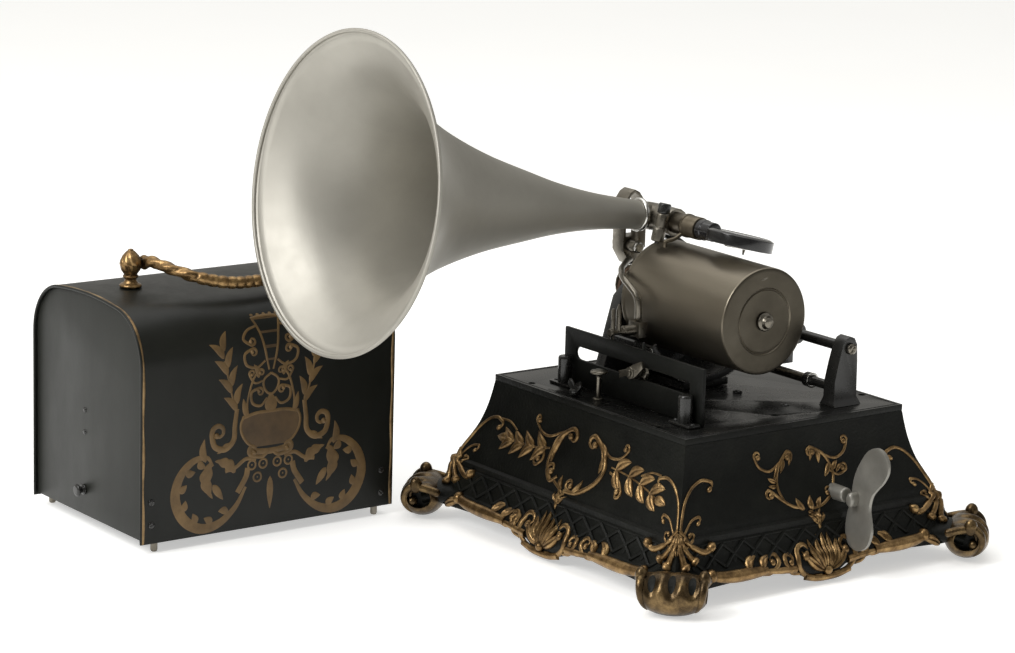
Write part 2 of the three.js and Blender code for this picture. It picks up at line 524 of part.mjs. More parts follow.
const END_IN = 3;
[["near", -1], ["far", 1]].forEach(([side, s]) => {
  const a = s * (COVER.hy - END_IN);
  put(`cover_end_${side}`, slab("y", outline(coverProfile(COVER.t + 0.3, COVER.foot + 2)),
    Math.min(a, a - s * 1.6), Math.max(a, a - s * 1.6)), "enamel", cover);
});
put("cover_knob", turned("y", [[0, -COVER.hy - 5.5], [4.2, -COVER.hy - 5.5],
  [5.2, -COVER.hy - 3.5], [4, -COVER.hy + 2.7], [0, -COVER.hy + 2.7]], [-8, 32], 18),
  "black", cover);
const FINIAL_Y = 82;
[["near", -1], ["far", 1]].forEach(([side, s]) => {
  put(`handle_finial_${side}`, join(bar("y", 1.5, Math.min(s * 66, s * 80),
    Math.max(s * 66, s * 80), [0, BAIL_Z], 12), turned("z", [[0, COVER.top + 0.3], [9, COVER.top + 0.3],
    [9.5, COVER.top + 3], [5.5, COVER.top + 6], [4.6, COVER.top + 9], [7.4, BAIL_Z - 6],
    [8.2, BAIL_Z], [7, BAIL_Z + 6], [4.2, BAIL_Z + 9.5], [2.6, BAIL_Z + 13], [0, BAIL_Z + 13]],
    [0, s * FINIAL_Y], 18)), "gilt", cover);
});
const bailEnd = (s) => turned("y", [[0, -4], [5, -3], [6.4, 0], [5, 3], [0, 4]],
  [0, BAIL_Z], 14).translate(0, s * (FINIAL_Y - 13), 0);
put("handle_bail", cut(join(bailEnd(-1), bailEnd(1),
  bent([[0, -69, BAIL_Z], [16, -68, BAIL_Z + 3], [36, -60, BAIL_Z - 2], [52, -44, 216],
    [58, -22, 211.5], [59.5, 0, 210.6], [58, 22, 211.5], [52, 44, 216],
    [36, 60, BAIL_Z - 2], [16, 68, BAIL_Z + 3], [0, 69, BAIL_Z]], 4.6, 30, 8)),
  bar("y", 1.9, -80, -64.5, [0, BAIL_Z], 12), bar("y", 1.9, 64.5, 80, [0, BAIL_Z], 12)),
  "gilt", cover);

export default group;
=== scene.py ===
import math

import bmesh
import bpy
import numpy as np
from mathutils import Matrix, Vector


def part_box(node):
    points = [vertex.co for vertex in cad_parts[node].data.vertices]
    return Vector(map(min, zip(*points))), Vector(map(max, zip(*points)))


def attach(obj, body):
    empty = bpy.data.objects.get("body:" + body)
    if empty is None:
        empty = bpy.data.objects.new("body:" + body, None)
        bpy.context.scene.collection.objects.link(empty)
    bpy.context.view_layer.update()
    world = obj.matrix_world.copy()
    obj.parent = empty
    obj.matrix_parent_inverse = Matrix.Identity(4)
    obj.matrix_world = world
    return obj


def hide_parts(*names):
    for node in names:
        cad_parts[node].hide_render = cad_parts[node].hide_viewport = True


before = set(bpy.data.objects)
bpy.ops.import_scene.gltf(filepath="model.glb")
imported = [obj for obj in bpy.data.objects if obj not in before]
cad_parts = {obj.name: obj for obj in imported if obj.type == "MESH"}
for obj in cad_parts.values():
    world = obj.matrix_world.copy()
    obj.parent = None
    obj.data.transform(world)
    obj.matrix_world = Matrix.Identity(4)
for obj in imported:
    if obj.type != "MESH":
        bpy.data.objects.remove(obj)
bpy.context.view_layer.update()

# Sizes below are in millimetres in two local frames: the machine's, about the centre of its deck,
# and the cover's, about the centre of its wrapper. Both stand on the floor at z = 0.
MM = 0.001
PI = math.pi


def middle(node):
    low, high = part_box(node)
    return (low + high) / 2 / MM


MACHINE = Vector((middle("deck_plate").x, middle("deck_plate").y, 0))
COVER = Vector((middle("cover_wrap").x, middle("cover_wrap").y, 0))


# ---------------------------------------------------------------- materials
def noise(nodes, links, coords, scale, detail=4, rough=0.55, stretch=(1, 1, 1)):
    mapping = nodes.new("ShaderNodeMapping")
    mapping.inputs["Scale"].default_value = stretch
    links.new(coords, mapping.inputs["Vector"])
    tex = nodes.new("ShaderNodeTexNoise")
    tex.inputs["Scale"].default_value = scale
    tex.inputs["Detail"].default_value = detail
    tex.inputs["Roughness"].default_value = rough
    links.new(mapping.outputs["Vector"], tex.inputs["Vector"])
    return tex.outputs["Fac"]


def ramp(nodes, links, value, stops):
    node = nodes.new("ShaderNodeValToRGB")
    node.color_ramp.elements[0].position = stops[0][0]
    node.color_ramp.elements[1].position = stops[-1][0]
    for position, _ in stops[1:-1]:
        node.color_ramp.elements.new(position)
    for element, (_, colour) in zip(node.color_ramp.elements, stops):
        element.color = (*colour, 1)
    links.new(value, node.inputs["Fac"])
    return node.outputs["Color"]


def spread(nodes, links, value, low, high):
    node = nodes.new("ShaderNodeMapRange")
    node.inputs["From Min"].default_value = 0.25
    node.inputs["From Max"].default_value = 0.75
    node.inputs["To Min"].default_value = low
    node.inputs["To Max"].default_value = high
    links.new(value, node.inputs["Value"])
    return node.outputs["Result"]


def finish(name, tones, rough=(0.3, 0.5), metal=0.0, patch=12, stretch=(1, 1, 1), grain=900,
           bump=0.1, bump_depth=0.0002, specular=0.5, coat=0.0, anisotropic=0.0, recess=None,
           recess_reach=0.004, fine=(1, 1, 1), spun=False):
    """A worn finish: tones mixed by broad patches, roughness by a second pattern and fine bump.

    recess darkens hollows with that colour. stretch and fine lengthen the two patterns. spun
    turns the brushed highlight about the object's own Z."""
    mat = bpy.data.materials.new(name)
    mat.use_nodes = True
    nodes, links = mat.node_tree.nodes, mat.node_tree.links
    shader = nodes["Principled BSDF"]
    coords = nodes.new("ShaderNodeTexCoord").outputs["Object"]
    broad = noise(nodes, links, coords, patch, 6, 0.6, stretch)
    step = 0.5 / max(1, len(tones) - 1)
    colour = ramp(nodes, links, broad, [(0.25 + i * step, t) for i, t in enumerate(tones)])
    if recess:
        shade = nodes.new("ShaderNodeAmbientOcclusion")
        shade.samples = 4
        shade.inputs["Distance"].default_value = recess_reach
        mask = ramp(nodes, links, shade.outputs["AO"], [(0.35, (0, 0, 0)), (0.85, (1, 1, 1))])
        mix = nodes.new("ShaderNodeMix")
        mix.data_type = "RGBA"
        links.new(mask, mix.inputs["Factor"])
        mix.inputs[6].default_value = (*recess, 1)
        links.new(colour, mix.inputs[7])
        colour = mix.outputs[2]
    links.new(colour, shader.inputs["Base Color"])
    second = noise(nodes, links, coords, patch * 6, 8, 0.65, stretch)
    links.new(spread(nodes, links, second, *rough), shader.inputs["Roughness"])
    tooth = noise(nodes, links, coords, grain, 3, 0.5, fine)
    bumps = nodes.new("ShaderNodeBump")
    bumps.inputs["Strength"].default_value = bump
    bumps.inputs["Distance"].default_value = bump_depth
    links.new(tooth, bumps.inputs["Height"])
    links.new(bumps.outputs["Normal"], shader.inputs["Normal"])
    shader.inputs["Metallic"].default_value = metal
    shader.inputs["Specular IOR Level"].default_value = specular
    shader.inputs["Coat Weight"].default_value = coat
    shader.inputs["Coat Roughness"].default_value = 0.12
    shader.inputs["Anisotropic"].default_value = anisotropic
    if spun:
        tangent = nodes.new("ShaderNodeTangent")
        tangent.direction_type = "RADIAL"
        tangent.axis = "Z"
        links.new(tangent.outputs["Tangent"], shader.inputs["Tangent"])
    return mat


JAPAN = finish("black_japan", [(0.003, 0.0033, 0.0027), (0.006, 0.0065, 0.0055), (0.010, 0.0105, 0.0085)],
               rough=(0.38, 0.55), patch=14, grain=700, bump=0.35, bump_depth=0.0004, specular=0.18)
CAST = finish("cast_japan", [(0.0028, 0.003, 0.0024), (0.006, 0.0065, 0.0052), (0.010, 0.0105, 0.008)],
              rough=(0.36, 0.55), patch=30, grain=420, bump=0.6, bump_depth=0.0006, specular=0.13)
GLOSS = finish("gloss_japan", [(0.008, 0.0078, 0.007), (0.013, 0.0128, 0.0118), (0.019, 0.0188, 0.017)],
               rough=(0.24, 0.32), patch=16, grain=500, bump=0.12, coat=0.15)
GILT = finish("antique_gilt", [(0.055, 0.034, 0.016), (0.24, 0.146, 0.060), (0.50, 0.330, 0.145)],
              rough=(0.22, 0.42), metal=0.82, patch=110, grain=600, bump=0.35, bump_depth=0.0004,
              recess=(0.010, 0.008, 0.005), recess_reach=0.005)
FOOT_GILT = finish("foot_gilt", [(0.022, 0.015, 0.008), (0.085, 0.055, 0.025), (0.30, 0.20, 0.088)],
                   rough=(0.2, 0.42), metal=0.82, patch=70, grain=600, bump=0.4, bump_depth=0.0004,
                   recess=(0.010, 0.008, 0.005), recess_reach=0.006)
DECK_FINISH = finish("deck_japan",
                     [(0.0045, 0.0045, 0.004), (0.0062, 0.0062, 0.0056), (0.0085, 0.0083, 0.0075)],
                     rough=(0.25, 0.30), patch=10, grain=500, bump=0.04, specular=0.42)
GILT_EDGE = finish("worn_gilt_line", [(0.012, 0.010, 0.007), (0.26, 0.17, 0.08), (0.40, 0.28, 0.14)],
                   rough=(0.35, 0.55), metal=0.7, patch=70, grain=700, bump=0.3)
NICKEL = finish("worn_nickel", [(0.12, 0.108, 0.086), (0.20, 0.182, 0.150), (0.29, 0.27, 0.23)],
                rough=(0.22, 0.40), metal=0.95, patch=40, grain=900, bump=0.12)
SATIN = finish("satin_nickel", [(0.22, 0.21, 0.185), (0.28, 0.27, 0.24), (0.34, 0.325, 0.295)],
               rough=(0.36, 0.48), metal=0.6, patch=30, grain=900, bump=0.12)
BRIGHT = finish("bright_steel", [(0.42, 0.41, 0.39), (0.58, 0.57, 0.54), (0.68, 0.67, 0.64)],
                rough=(0.12, 0.3), metal=1.0, patch=60, grain=900, bump=0.08)
# the drum's nickel again, darker, for its +X end face: painted shade on the face turned from the light
DRUM_END_PAINTED_SHADE = finish("drum_end_nickel_painted_shade", [(0.060, 0.053, 0.040), (0.083, 0.073, 0.056), (0.104, 0.093, 0.073)],
                  rough=(0.34, 0.46), metal=1.0, patch=22, grain=900, bump=0.1)
DRUM = finish("drum_nickel", [(0.155, 0.135, 0.102), (0.215, 0.189, 0.146), (0.27, 0.24, 0.188)],
              rough=(0.3, 0.42), metal=0.9, patch=9, grain=900, stretch=(1, 1, 0.25),
              fine=(1, 1, 0.05), bump=0.12)
ALU = finish("spun_aluminium", [(0.33, 0.315, 0.275), (0.39, 0.373, 0.33), (0.45, 0.432, 0.385)],
             rough=(0.40, 0.52), metal=0.62, patch=7, grain=350,
             fine=(0.06, 0.06, 3.0), bump=0.14, bump_depth=0.00025, anisotropic=0.75, spun=True)
EBONITE = finish("hard_rubber", [(0.006, 0.006, 0.0065), (0.011, 0.011, 0.0115), (0.017, 0.016, 0.017)],
                 rough=(0.1, 0.26), patch=40, grain=900, bump=0.05, coat=0.3)
BRASS = finish("dull_brass", [(0.34, 0.22, 0.075), (0.45, 0.31, 0.12), (0.55, 0.40, 0.17)],
               rough=(0.25, 0.42), metal=0.95, patch=50, grain=800, bump=0.12)
BRONZE = finish("dark_bronze", [(0.085, 0.070, 0.048), (0.14, 0.118, 0.085), (0.21, 0.18, 0.135)],
                rough=(0.28, 0.42), metal=0.9, patch=60, grain=900, bump=0.12)
LEATHER = finish("belt_leather", [(0.05, 0.024, 0.012), (0.095, 0.048, 0.024), (0.13, 0.07, 0.036)],
                 rough=(0.55, 0.8), patch=70, grain=1500, bump=0.5, bump_depth=0.0003)
ENAMEL = finish("cover_enamel", [(0.005, 0.0056, 0.0044), (0.0078, 0.0086, 0.0068), (0.012, 0.013, 0.0105)],
                rough=(0.32, 0.46), patch=9, grain=350, bump=0.12, bump_depth=0.0003,
                stretch=(1, 1, 0.5), specular=0.24)
END_ENAMEL = finish("end_enamel", [(0.009, 0.010, 0.0080), (0.0135, 0.0145, 0.0118), (0.019, 0.020, 0.0165)],
                    rough=(0.38, 0.5), patch=8, grain=350, bump=0.15, bump_depth=0.0003,
                    stretch=(1, 1, 0.35), specular=0.32)
DECAL = finish("faded_gold_transfer", [(0.075, 0.045, 0.016), (0.135, 0.080, 0.028), (0.20, 0.122, 0.045)],
               rough=(0.38, 0.55), metal=0.25, patch=55, grain=900, bump=0.15)
DECAL_DARK = finish("brown_transfer", [(0.045, 0.026, 0.010), (0.075, 0.044, 0.017), (0.105, 0.062, 0.024)],
                    rough=(0.38, 0.55), metal=0.2, patch=50, grain=900, bump=0.15)
MICA = finish("mica_sheet", [(0.45, 0.42, 0.34), (0.58, 0.55, 0.47), (0.66, 0.63, 0.55)],
              rough=(0.15, 0.3), patch=80, grain=900, bump=0.1)


# ---------------------------------------------------------------- mesh building
def soften(mesh, angle):
    """Smooth shading with edges left sharp where two faces meet at more than the angle."""
    bm = bmesh.new()
    bm.from_mesh(mesh)
    bmesh.ops.recalc_face_normals(bm, faces=bm.faces)
    for edge in bm.edges:
        edge.smooth = len(edge.link_faces) == 2 and edge.calc_face_angle(0) < math.radians(angle)
    for face in bm.faces:
        face.smooth = True
    bm.to_mesh(mesh)
    bm.free()


def show(mesh, angle=38, mat=None):
    """An object for a mesh, linked to the scene."""
    if mat:
        soften(mesh, angle)
        mesh.materials.append(mat)
    obj = bpy.data.objects.new(mesh.name, mesh)
    bpy.context.scene.collection.objects.link(obj)
    return obj


def piece(name, verts, faces, mat, body, replaces=(), at=MACHINE, turn=None, slot=None, angle=38):
    """A mesh object from points in millimetres, on its body. turn is a local 4x4 placement."""
    mesh = bpy.data.meshes.new(name)
    mesh.from_pydata([tuple(Vector(v) * MM) for v in verts], [], faces)
    mesh.validate()
    obj = show(mesh, angle, mat)
    place = Matrix.Translation(Vector(at) * MM)
    if turn is not None:
        scaled = turn.copy()
        scaled.translation = turn.translation * MM
        place = place @ scaled
    obj.matrix_world = place
    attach(obj, body)
    if replaces:
        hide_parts(*replaces)
    return obj


class Shape:
    """Collects closed lofts into one mesh."""

    def __init__(self):
        self.verts = []
        self.faces = []

    def add(self, verts, faces):
        start = len(self.verts)
        self.verts += [Vector(v) for v in verts]
        self.faces += [[i + start for i in f] for f in faces]
        return self

    def loft(self, rings, caps=True, around=True, along=False):
        """Joins rings of equal length; around closes each ring, along joins the last to the first."""
        n, m = len(rings), len(rings[0])
        faces = []
        for i in range(n if along else n - 1):
            for j in range(m if around else m - 1):
                a, b = i * m + j, i * m + (j + 1) % m
                c, d = ((i + 1) % n) * m + (j + 1) % m, ((i + 1) % n) * m + j
                faces.append([a, b, c, d])
        if caps and not along:
            faces.append(list(range(m))[::-1])
            faces.append(list(range((n - 1) * m, n * m)))
        return self.add([v for ring in rings for v in ring], faces)

    def make(self, name, mat, body, **more):
        return piece(name, self.verts, self.faces, mat, body, **more)


def curve(points, per=8):
    """A smooth line through points, 2-D or 3-D."""
    p = [Vector(q) for q in points]
    out = []
    for i in range(len(p) - 1):
        b, c = p[i], p[i + 1]
        a = p[i - 1] if i else b * 2 - c
        d = p[i + 2] if i + 2 < len(p) else c * 2 - b
        for k in range(per):
            t = k / per
            out.append(0.5 * (2 * b + (c - a) * t + (2 * a - 5 * b + 4 * c - d) * t * t
                              + (3 * b - a - 3 * c + d) * t ** 3))
    return out + [p[-1]]


def rounded(points, r=0.6, per=3, closed=False):
    """An outline with each corner eased over a distance r."""
    p = [Vector(q) for q in points]
    n = len(p)
    out = []
    for i in range(n):
        if not closed and i in (0, n - 1):
            out.append(p[i])
            continue
        before, after = p[i - 1] - p[i], p[(i + 1) % n] - p[i]
        if before.length < 1e-6 or after.length < 1e-6:
            out.append(p[i])
            continue
        reach = min(r, before.length * 0.45, after.length * 0.45)
        a, b = p[i] + before.normalized() * reach, p[i] + after.normalized() * reach
        for k in range(per + 1):
            t = k / per
            out.append(a * (1 - t) ** 2 + p[i] * 2 * t * (1 - t) + b * t * t)
    return out


AXES = {
    "x": Matrix(((0, 0, 1, 0), (1, 0, 0, 0), (0, 1, 0, 0), (0, 0, 0, 1))),
    "y": Matrix(((1, 0, 0, 0), (0, 0, 1, 0), (0, -1, 0, 0), (0, 0, 0, 1))),
    "z": Matrix.Identity(4),
}


def turn_at(axis, at):
    """Local placement whose Z runs along an axis, through a point."""
    return Matrix.Translation(Vector(at)) @ AXES[axis]


def revolve(section, seg=64, flute=None):
    """A turned solid about local Z. section = (radius, height); flute scales radius by angle."""
    rings = []
    closed = section[0][0] > 1e-6
    for r, s in section:
        angles = [2 * PI * k / seg for k in range(seg)]
        reach = [max(r, 1e-3) * (flute(a, s) if flute else 1) for a in angles]
        rings.append([Vector((q * math.cos(a), q * math.sin(a), s)) for q, a in zip(reach, angles)])
    return Shape().loft(rings, caps=not closed, along=closed)


def lathe(name, section, mat, body, axis="z", at=(0, 0, 0), ease=0.5, seg=64, flute=None,
          turn=None, origin=MACHINE, **more):
    """A turned piece about an axis through a point, or placed by turn. ease rounds its corners."""
    eased = rounded(section, ease, 3, closed=section[0][0] > 1e-6)
    shape = revolve(eased, seg, flute)
    placed = turn_at(axis, at) if turn is None else turn
    return shape.make(name, mat, body, turn=placed, at=origin, **more)


def tube(points, radius, sides=14, per=8, squash=1.0, up=Vector((0, 0, 1)), shape=None):
    """A bar swept along a smooth line, its radius a number or a function of 0..1, ends rounded."""
    path = curve(points, per)
    n = len(path)
    size = radius if callable(radius) else lambda t: radius
    side = None
    rings = []
    for i, p in enumerate(path):
        t = i / (n - 1)
        ahead = (path[min(i + 1, n - 1)] - path[max(i - 1, 0)]).normalized()
        if side is None:
            side = ahead.cross(up)
            side = side.normalized() if side.length > 1e-3 else Vector((1, 0, 0))
        side = (side - ahead * side.dot(ahead)).normalized()
        over = ahead.cross(side)
        for inset, grow in ([(0, 0.55), (0.35, 0.88)] if i == 0 else [(0, 1)]):
            rings.append(ring_at(p + ahead * inset * size(t), side, over, size(t) * grow, squash, sides))
        if i == n - 1:
            rings[-1] = ring_at(p - ahead * 0.35 * size(t), side, over, size(t) * 0.9, squash, sides)
            rings.append(ring_at(p, side, over, size(t) * 0.55, squash, sides))
    return (shape or Shape()).loft(rings)


def ring_at(p, side, over, r, squash, sides):
    """Points round a bar's section at p."""
    return [p + side * r * math.cos(2 * PI * k / sides) + over * r * squash
            * math.sin(2 * PI * k / sides) for k in range(sides)]


def prism(outline, low, high, ease=0.6, axis="z"):
    """A flat plate with eased edges. outline is drawn in the plane across the axis."""
    flat = [Vector(q) for q in outline]
    area = sum(a.x * b.y - b.x * a.y for a, b in zip(flat, flat[1:] + flat[:1]))
    if area < 0:
        flat.reverse()
    n = len(flat)
    rings = []
    for height, inset in ((low, ease), (low + ease * 0.3, ease * 0.3), (low + ease, 0),
                          (high - ease, 0), (high - ease * 0.3, ease * 0.3), (high, ease)):
        ring = []
        for i, q in enumerate(flat):
            a, b = (q - flat[i - 1]).normalized(), (flat[(i + 1) % n] - q).normalized()
            inward = Vector((-(a + b).y, (a + b).x))
            inward = inward.normalized() if inward.length > 1e-6 else Vector((0, 0))
            ring.append(AXES[axis] @ Vector((q.x + inward.x * inset, q.y + inward.y * inset, height)))
        rings.append(ring)
    return Shape().loft(rings)


def refine(node, mat, body, width=0.5, segments=2, dissolve=True, angle=38):
    """A copy of a CAD piece with its edges rounded, standing for that piece."""
    bm = bmesh.new()
    bm.from_mesh(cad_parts[node].data)
    bmesh.ops.remove_doubles(bm, verts=bm.verts, dist=1e-6)
    if dissolve:
        bmesh.ops.dissolve_limit(bm, angle_limit=math.radians(0.6), verts=bm.verts, edges=bm.edges)
    edges = [e for e in bm.edges if len(e.link_faces) == 2
             and e.calc_face_angle(0) > math.radians(angle)]
    bmesh.ops.bevel(bm, geom=edges, offset=width * MM, segments=segments, profile=0.5,
                    affect="EDGES", clamp_overlap=True)
    mesh = bpy.data.meshes.new(node + "_finished")
    bm.to_mesh(mesh)
    bm.free()
    obj = show(mesh, angle, mat)
    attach(obj, body)
    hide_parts(node)
    return obj


class Relief(Shape):
    """Raised ornament drawn in flat coordinates (u, h) on a surface given by place(u, h, lift)."""

    def __init__(self, place, sink=0.5):
        super().__init__()
        self.place = place
        self.sink = sink

    def section(self, p, side, width, height, sides=8, vein=0.0):
        ring = []
        for k in range(sides + 1):
            a = PI * k / sides
            q = p + side * width * math.cos(a)
            dip = vein * height * math.exp(-((math.cos(a) / 0.22) ** 2))
            ring.append(self.place(q.x, q.y, height * math.sin(a) - dip))
        for s in (-1, 1):
            q = p + side * width * s * 0.98
            ring.append(self.place(q.x, q.y, -self.sink))
        return ring

    def stem(self, points, width, height=None, per=6, sides=8):
        """A rounded strand; width is a number or a function of 0..1 along it."""
        path = curve(points, per)
        n = len(path)
        size = width if callable(width) else lambda t: width
        rings = []
        for i, p in enumerate(path):
            d = (path[min(i + 1, n - 1)] - path[max(i - 1, 0)]).normalized()
            w = size(i / (n - 1))
            rings.append(self.section(p, Vector((-d.y, d.x)), w, (height or 0.9) * w, sides))
        return self.loft(rings)

    def leaf(self, base, tip, width, height=1.6, bend=0.0, vein=0.5, lobes=0):
        """A pointed leaf with a sunk midrib; lobes gives it a wavy edge."""
        a, b = Vector(base), Vector(tip)
        d = b - a
        bow = Vector((-d.y, d.x)) * bend
        rings = []
        steps = 12 if not lobes else 6 * lobes
        for i in range(steps + 1):
            t = i / steps
            p = a + d * t + bow * 4 * t * (1 - t)
            w = width * (math.sin(PI * t ** 0.75) ** 0.8 if 0 < t < 1 else 0.0)
            if lobes:
                w *= 0.72 + 0.28 * abs(math.cos(PI * lobes * t))
            w = max(w, 0.12)
            rings.append(self.section(p, Vector((-d.y, d.x)).normalized(), w,
                                      height * (0.25 + 0.75 * math.sin(PI * min(1, t * 1.1) ** 0.8)
                                                if 0 < t < 0.9 else 0.25), 8, vein))
        return self.loft(rings)

    def ball(self, centre, r, height=None):
        """A low dome, as tall as it is wide unless height says otherwise."""
        tall, seg = height or r, 14

        def ring(reach, lift):
            return [self.place(centre[0] + reach * math.cos(q), centre[1] + reach * math.sin(q), lift)
                    for q in (2 * PI * k / seg for k in range(seg))]
        dome = [ring(r * math.cos(a), tall * math.sin(a) - 0.2)
                for a in (PI / 2 * i / 5.2 for i in range(6))]
        return self.loft([ring(r, -self.sink)] + dome)

    def curl(self, points, width, ball=None, turns=0.8, hand=1, height=None):
        """A strand that ends in a small coil round a bead. hand is the way it coils."""
        pts = [Vector(q) for q in points]
        d = (pts[-1] - pts[-2]).normalized()
        r = 2.6 * width
        centre = pts[-1] + Vector((-d.y, d.x)) * hand * r
        start = math.atan2(pts[-1].y - centre.y, pts[-1].x - centre.x)
        for k in range(1, 7):
            a = start + hand * turns * 2 * PI * k / 6
            q = r * (1 - 0.5 * k / 6)
            pts.append(centre + Vector((q * math.cos(a), q * math.sin(a))))
        self.stem(pts, lambda t: width * (0.55 + 0.45 * math.sin(PI * min(1, 0.15 + t))), height)
        return self.ball(pts[-1], ball or width * 1.35)


def flip(s, *points):
    """Points with their first coordinate multiplied by s, so that -1 mirrors them."""
    return [(s * u, h) for u, h in points]


# ---------------------------------------------------------------- base
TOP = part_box("deck_plate")
TOP_X = (TOP[1].x - TOP[0].x) / 2 / MM
TOP_Y = (TOP[1].y - TOP[0].y) / 2 / MM
DECK = TOP[1].z / MM
DECK_LOW = TOP[0].z / MM
SHELL_TOP = DECK_LOW - 0.3
WALL = 5
LEDGE = 52  # height of the step under the cove
APRON = 26  # height where the scalloped apron starts
# section of the side: outwards from the top edge, height
COVE = [(0, SHELL_TOP), (2, 110), (4.6, 98), (9, 84), (15, 71), (20, 61), (22, LEDGE + 1.5)]
PLINTH = [(25.5, LEDGE), (25.5, 47.2), (26.6, 46), (29, 36), (33, 27), (36, 24.5), (38, 20),
          (38.6, 14)]


def side_profile():
    cove = curve(COVE, 6)
    return [(p.x, p.y) for p in cove] + [(p.x, p.y) for p in rounded(PLINTH, 1.2, 3)]


PROFILE = side_profile()
PROFILE_Z = np.array([p[1] for p in PROFILE][::-1])
PROFILE_T = np.array([p[0] for p in PROFILE][::-1])


def flare(z):
    return float(np.interp(z, PROFILE_Z, PROFILE_T))


def lower_edge(u, half):
    """Height of the apron's scalloped edge at u, on a side whose half length is half."""
    s = abs(u) / half
    base = 13.5 + 2.5 * math.sin(PI * min(1, s / 0.85))
    drop = 9.0 * math.exp(-((u / 24) ** 4)) + 1.5 * math.exp(-(((abs(u) - 40) / 7) ** 2))
    return max(4.2, base - drop)


SIDES = {
    "front": (Vector((1, 0, 0)), Vector((0, -1, 0)), TOP_Y, TOP_X),
    "right": (Vector((0, 1, 0)), Vector((1, 0, 0)), TOP_X, TOP_Y),
    "back": (Vector((-1, 0, 0)), Vector((0, 1, 0)), TOP_Y, TOP_X),
    "left": (Vector((0, -1, 0)), Vector((-1, 0, 0)), TOP_X, TOP_Y),
}
UP = Vector((0, 0, 1))


def side_normal(out, h):
    slope = (flare(h + 1.5) - flare(h - 1.5)) / 3
    slope = max(-1.2, min(1.2, slope))
    return (out - UP * slope).normalized()


def on_side(side):
    along, out, depth, _ = SIDES[side]

    def place(u, h, lift):
        return along * u + out * (depth + flare(h)) + UP * h + side_normal(out, h) * lift
    return place


def on_corner(side):
    """The two faces that meet at the right-hand end of a side, unrolled about their shared edge.

    u < 0 is on the side itself, u > 0 on the next side round."""
    along, out, depth, length = SIDES[side]

    def place(u, h, lift):
        t = flare(h)
        edge = along * (length + t) + out * (depth + t) + UP * h
        blend = min(1, max(0, (u + 7) / 14))
        normal = side_normal(out, h) * (1 - blend) + side_normal(along, h) * blend
        shift = along * u if u < 0 else out * -u
        return edge + shift + normal.normalized() * lift
    return place


def base_shell():
    count, bands = 96, 6

    def ring(t, z, wave=None):
        """A loop round the base at height z, or a fraction wave of the way down the apron."""
        pts = []
        for along, out, depth, length in SIDES.values():
            half = length + t
            for i in range(count):
                u = (-1 + 2 * i / count) * half
                height = z if wave is None else APRON + (lower_edge(u, half) - APRON) * wave
                pts.append(along * u + out * (depth + t) + UP * height)
        return pts
    rings = [ring(0, SHELL_TOP)] + [ring(t, z) for t, z in PROFILE[1:] if z > APRON]
    waves = [k / bands for k in range(bands + 1)]
    rings += [ring(34.5 + 4.1 * math.sin(PI / 2 * min(1, w * 1.6)), 0, w) for w in waves]
    rings += [ring(34.0 - WALL * 0.4 - 2 * (1 - w), 0, w) for w in (1 - k / bands for k in range(bands + 1))]
    rings += [ring(t - WALL, z) for t, z in ((26, 44), (20, 60), (9, 82), (1, 104), (0, SHELL_TOP))]
    Shape().loft(rings, along=True).make("base_shell", CAST, "base", replaces=("base_casting",),
                                         slot="iron", angle=24)


def lattice():
    """Crossed bars in the band under the ledge, with a line above."""
    bars = Shape()
    low, high, count = 27.5, 45.0, 13
    for side, (_, _, _, length) in SIDES.items():
        relief = Relief(on_side(side))
        half = length + 24
        pitch = 2 * half / count
        for i in range(count):
            u = -half + (i + 0.5) * pitch
            relief.stem([(u - pitch / 2, low), (u + pitch / 2, high)], 1.5, 1.1, 2, 4)
            relief.stem([(u - pitch / 2, high), (u + pitch / 2, low)], 1.5, 1.1, 2, 4)
            relief.leaf((u, low + 1.5), (u, high - 4), 2.6, 1.3, vein=0.3)
        relief.stem([(-half, high + 1.2), (half, high + 1.2)], 0.9, 0.9, 8, 5)
        bars.add(relief.verts, relief.faces)
    bars.make("base_lattice", CAST, "base", slot="iron")


def apron_moulding():
    """Gilt moulding along the lower edge: a long scroll from each foot towards the middle."""
    shape = Shape()
    for side, (_, _, _, length) in SIDES.items():
        relief = Relief(on_side(side), sink=1.5)
        half = length + 38
        for hand in (-1, 1):
            near, far = 58, half - 40
            line = []
            for i in range(17):
                u = near + (far - near) * i / 16
                line.append((hand * u, lower_edge(u, half) + 3.6 + 5.0 * (i / 16) ** 4))
            relief.stem(line, lambda t: 2.6 + 2.4 * math.sin(PI * min(1, 0.1 + 0.8 * t)), 0.85, 3, 10)
            relief.ball(line[-1], 4.8, 5.0)
            for reach, rise, w in ((-8, 14, 3.6), (6, 16, 4.0)):
                u = near + reach
                h = lower_edge(near + 4, half)
                relief.leaf((hand * (u + 14), h + 4), (hand * u, h + rise), w, 3.2,
                            bend=-0.16 * hand, vein=0.35)
            relief.stem([(hand * u, lower_edge(u, half) + 2.6) for u in (28, 36, 46, 56, 64)],
                        lambda t: 3.4 - 1.4 * t, 0.9, 4, 8)
            relief.curl([(hand * 62, 17), (hand * 54, 17), (hand * 46, 22)], 2.0, hand=-hand, ball=2.6)
        shape.add(relief.verts, relief.faces)
    shape.make("apron_moulding", GILT, "base")


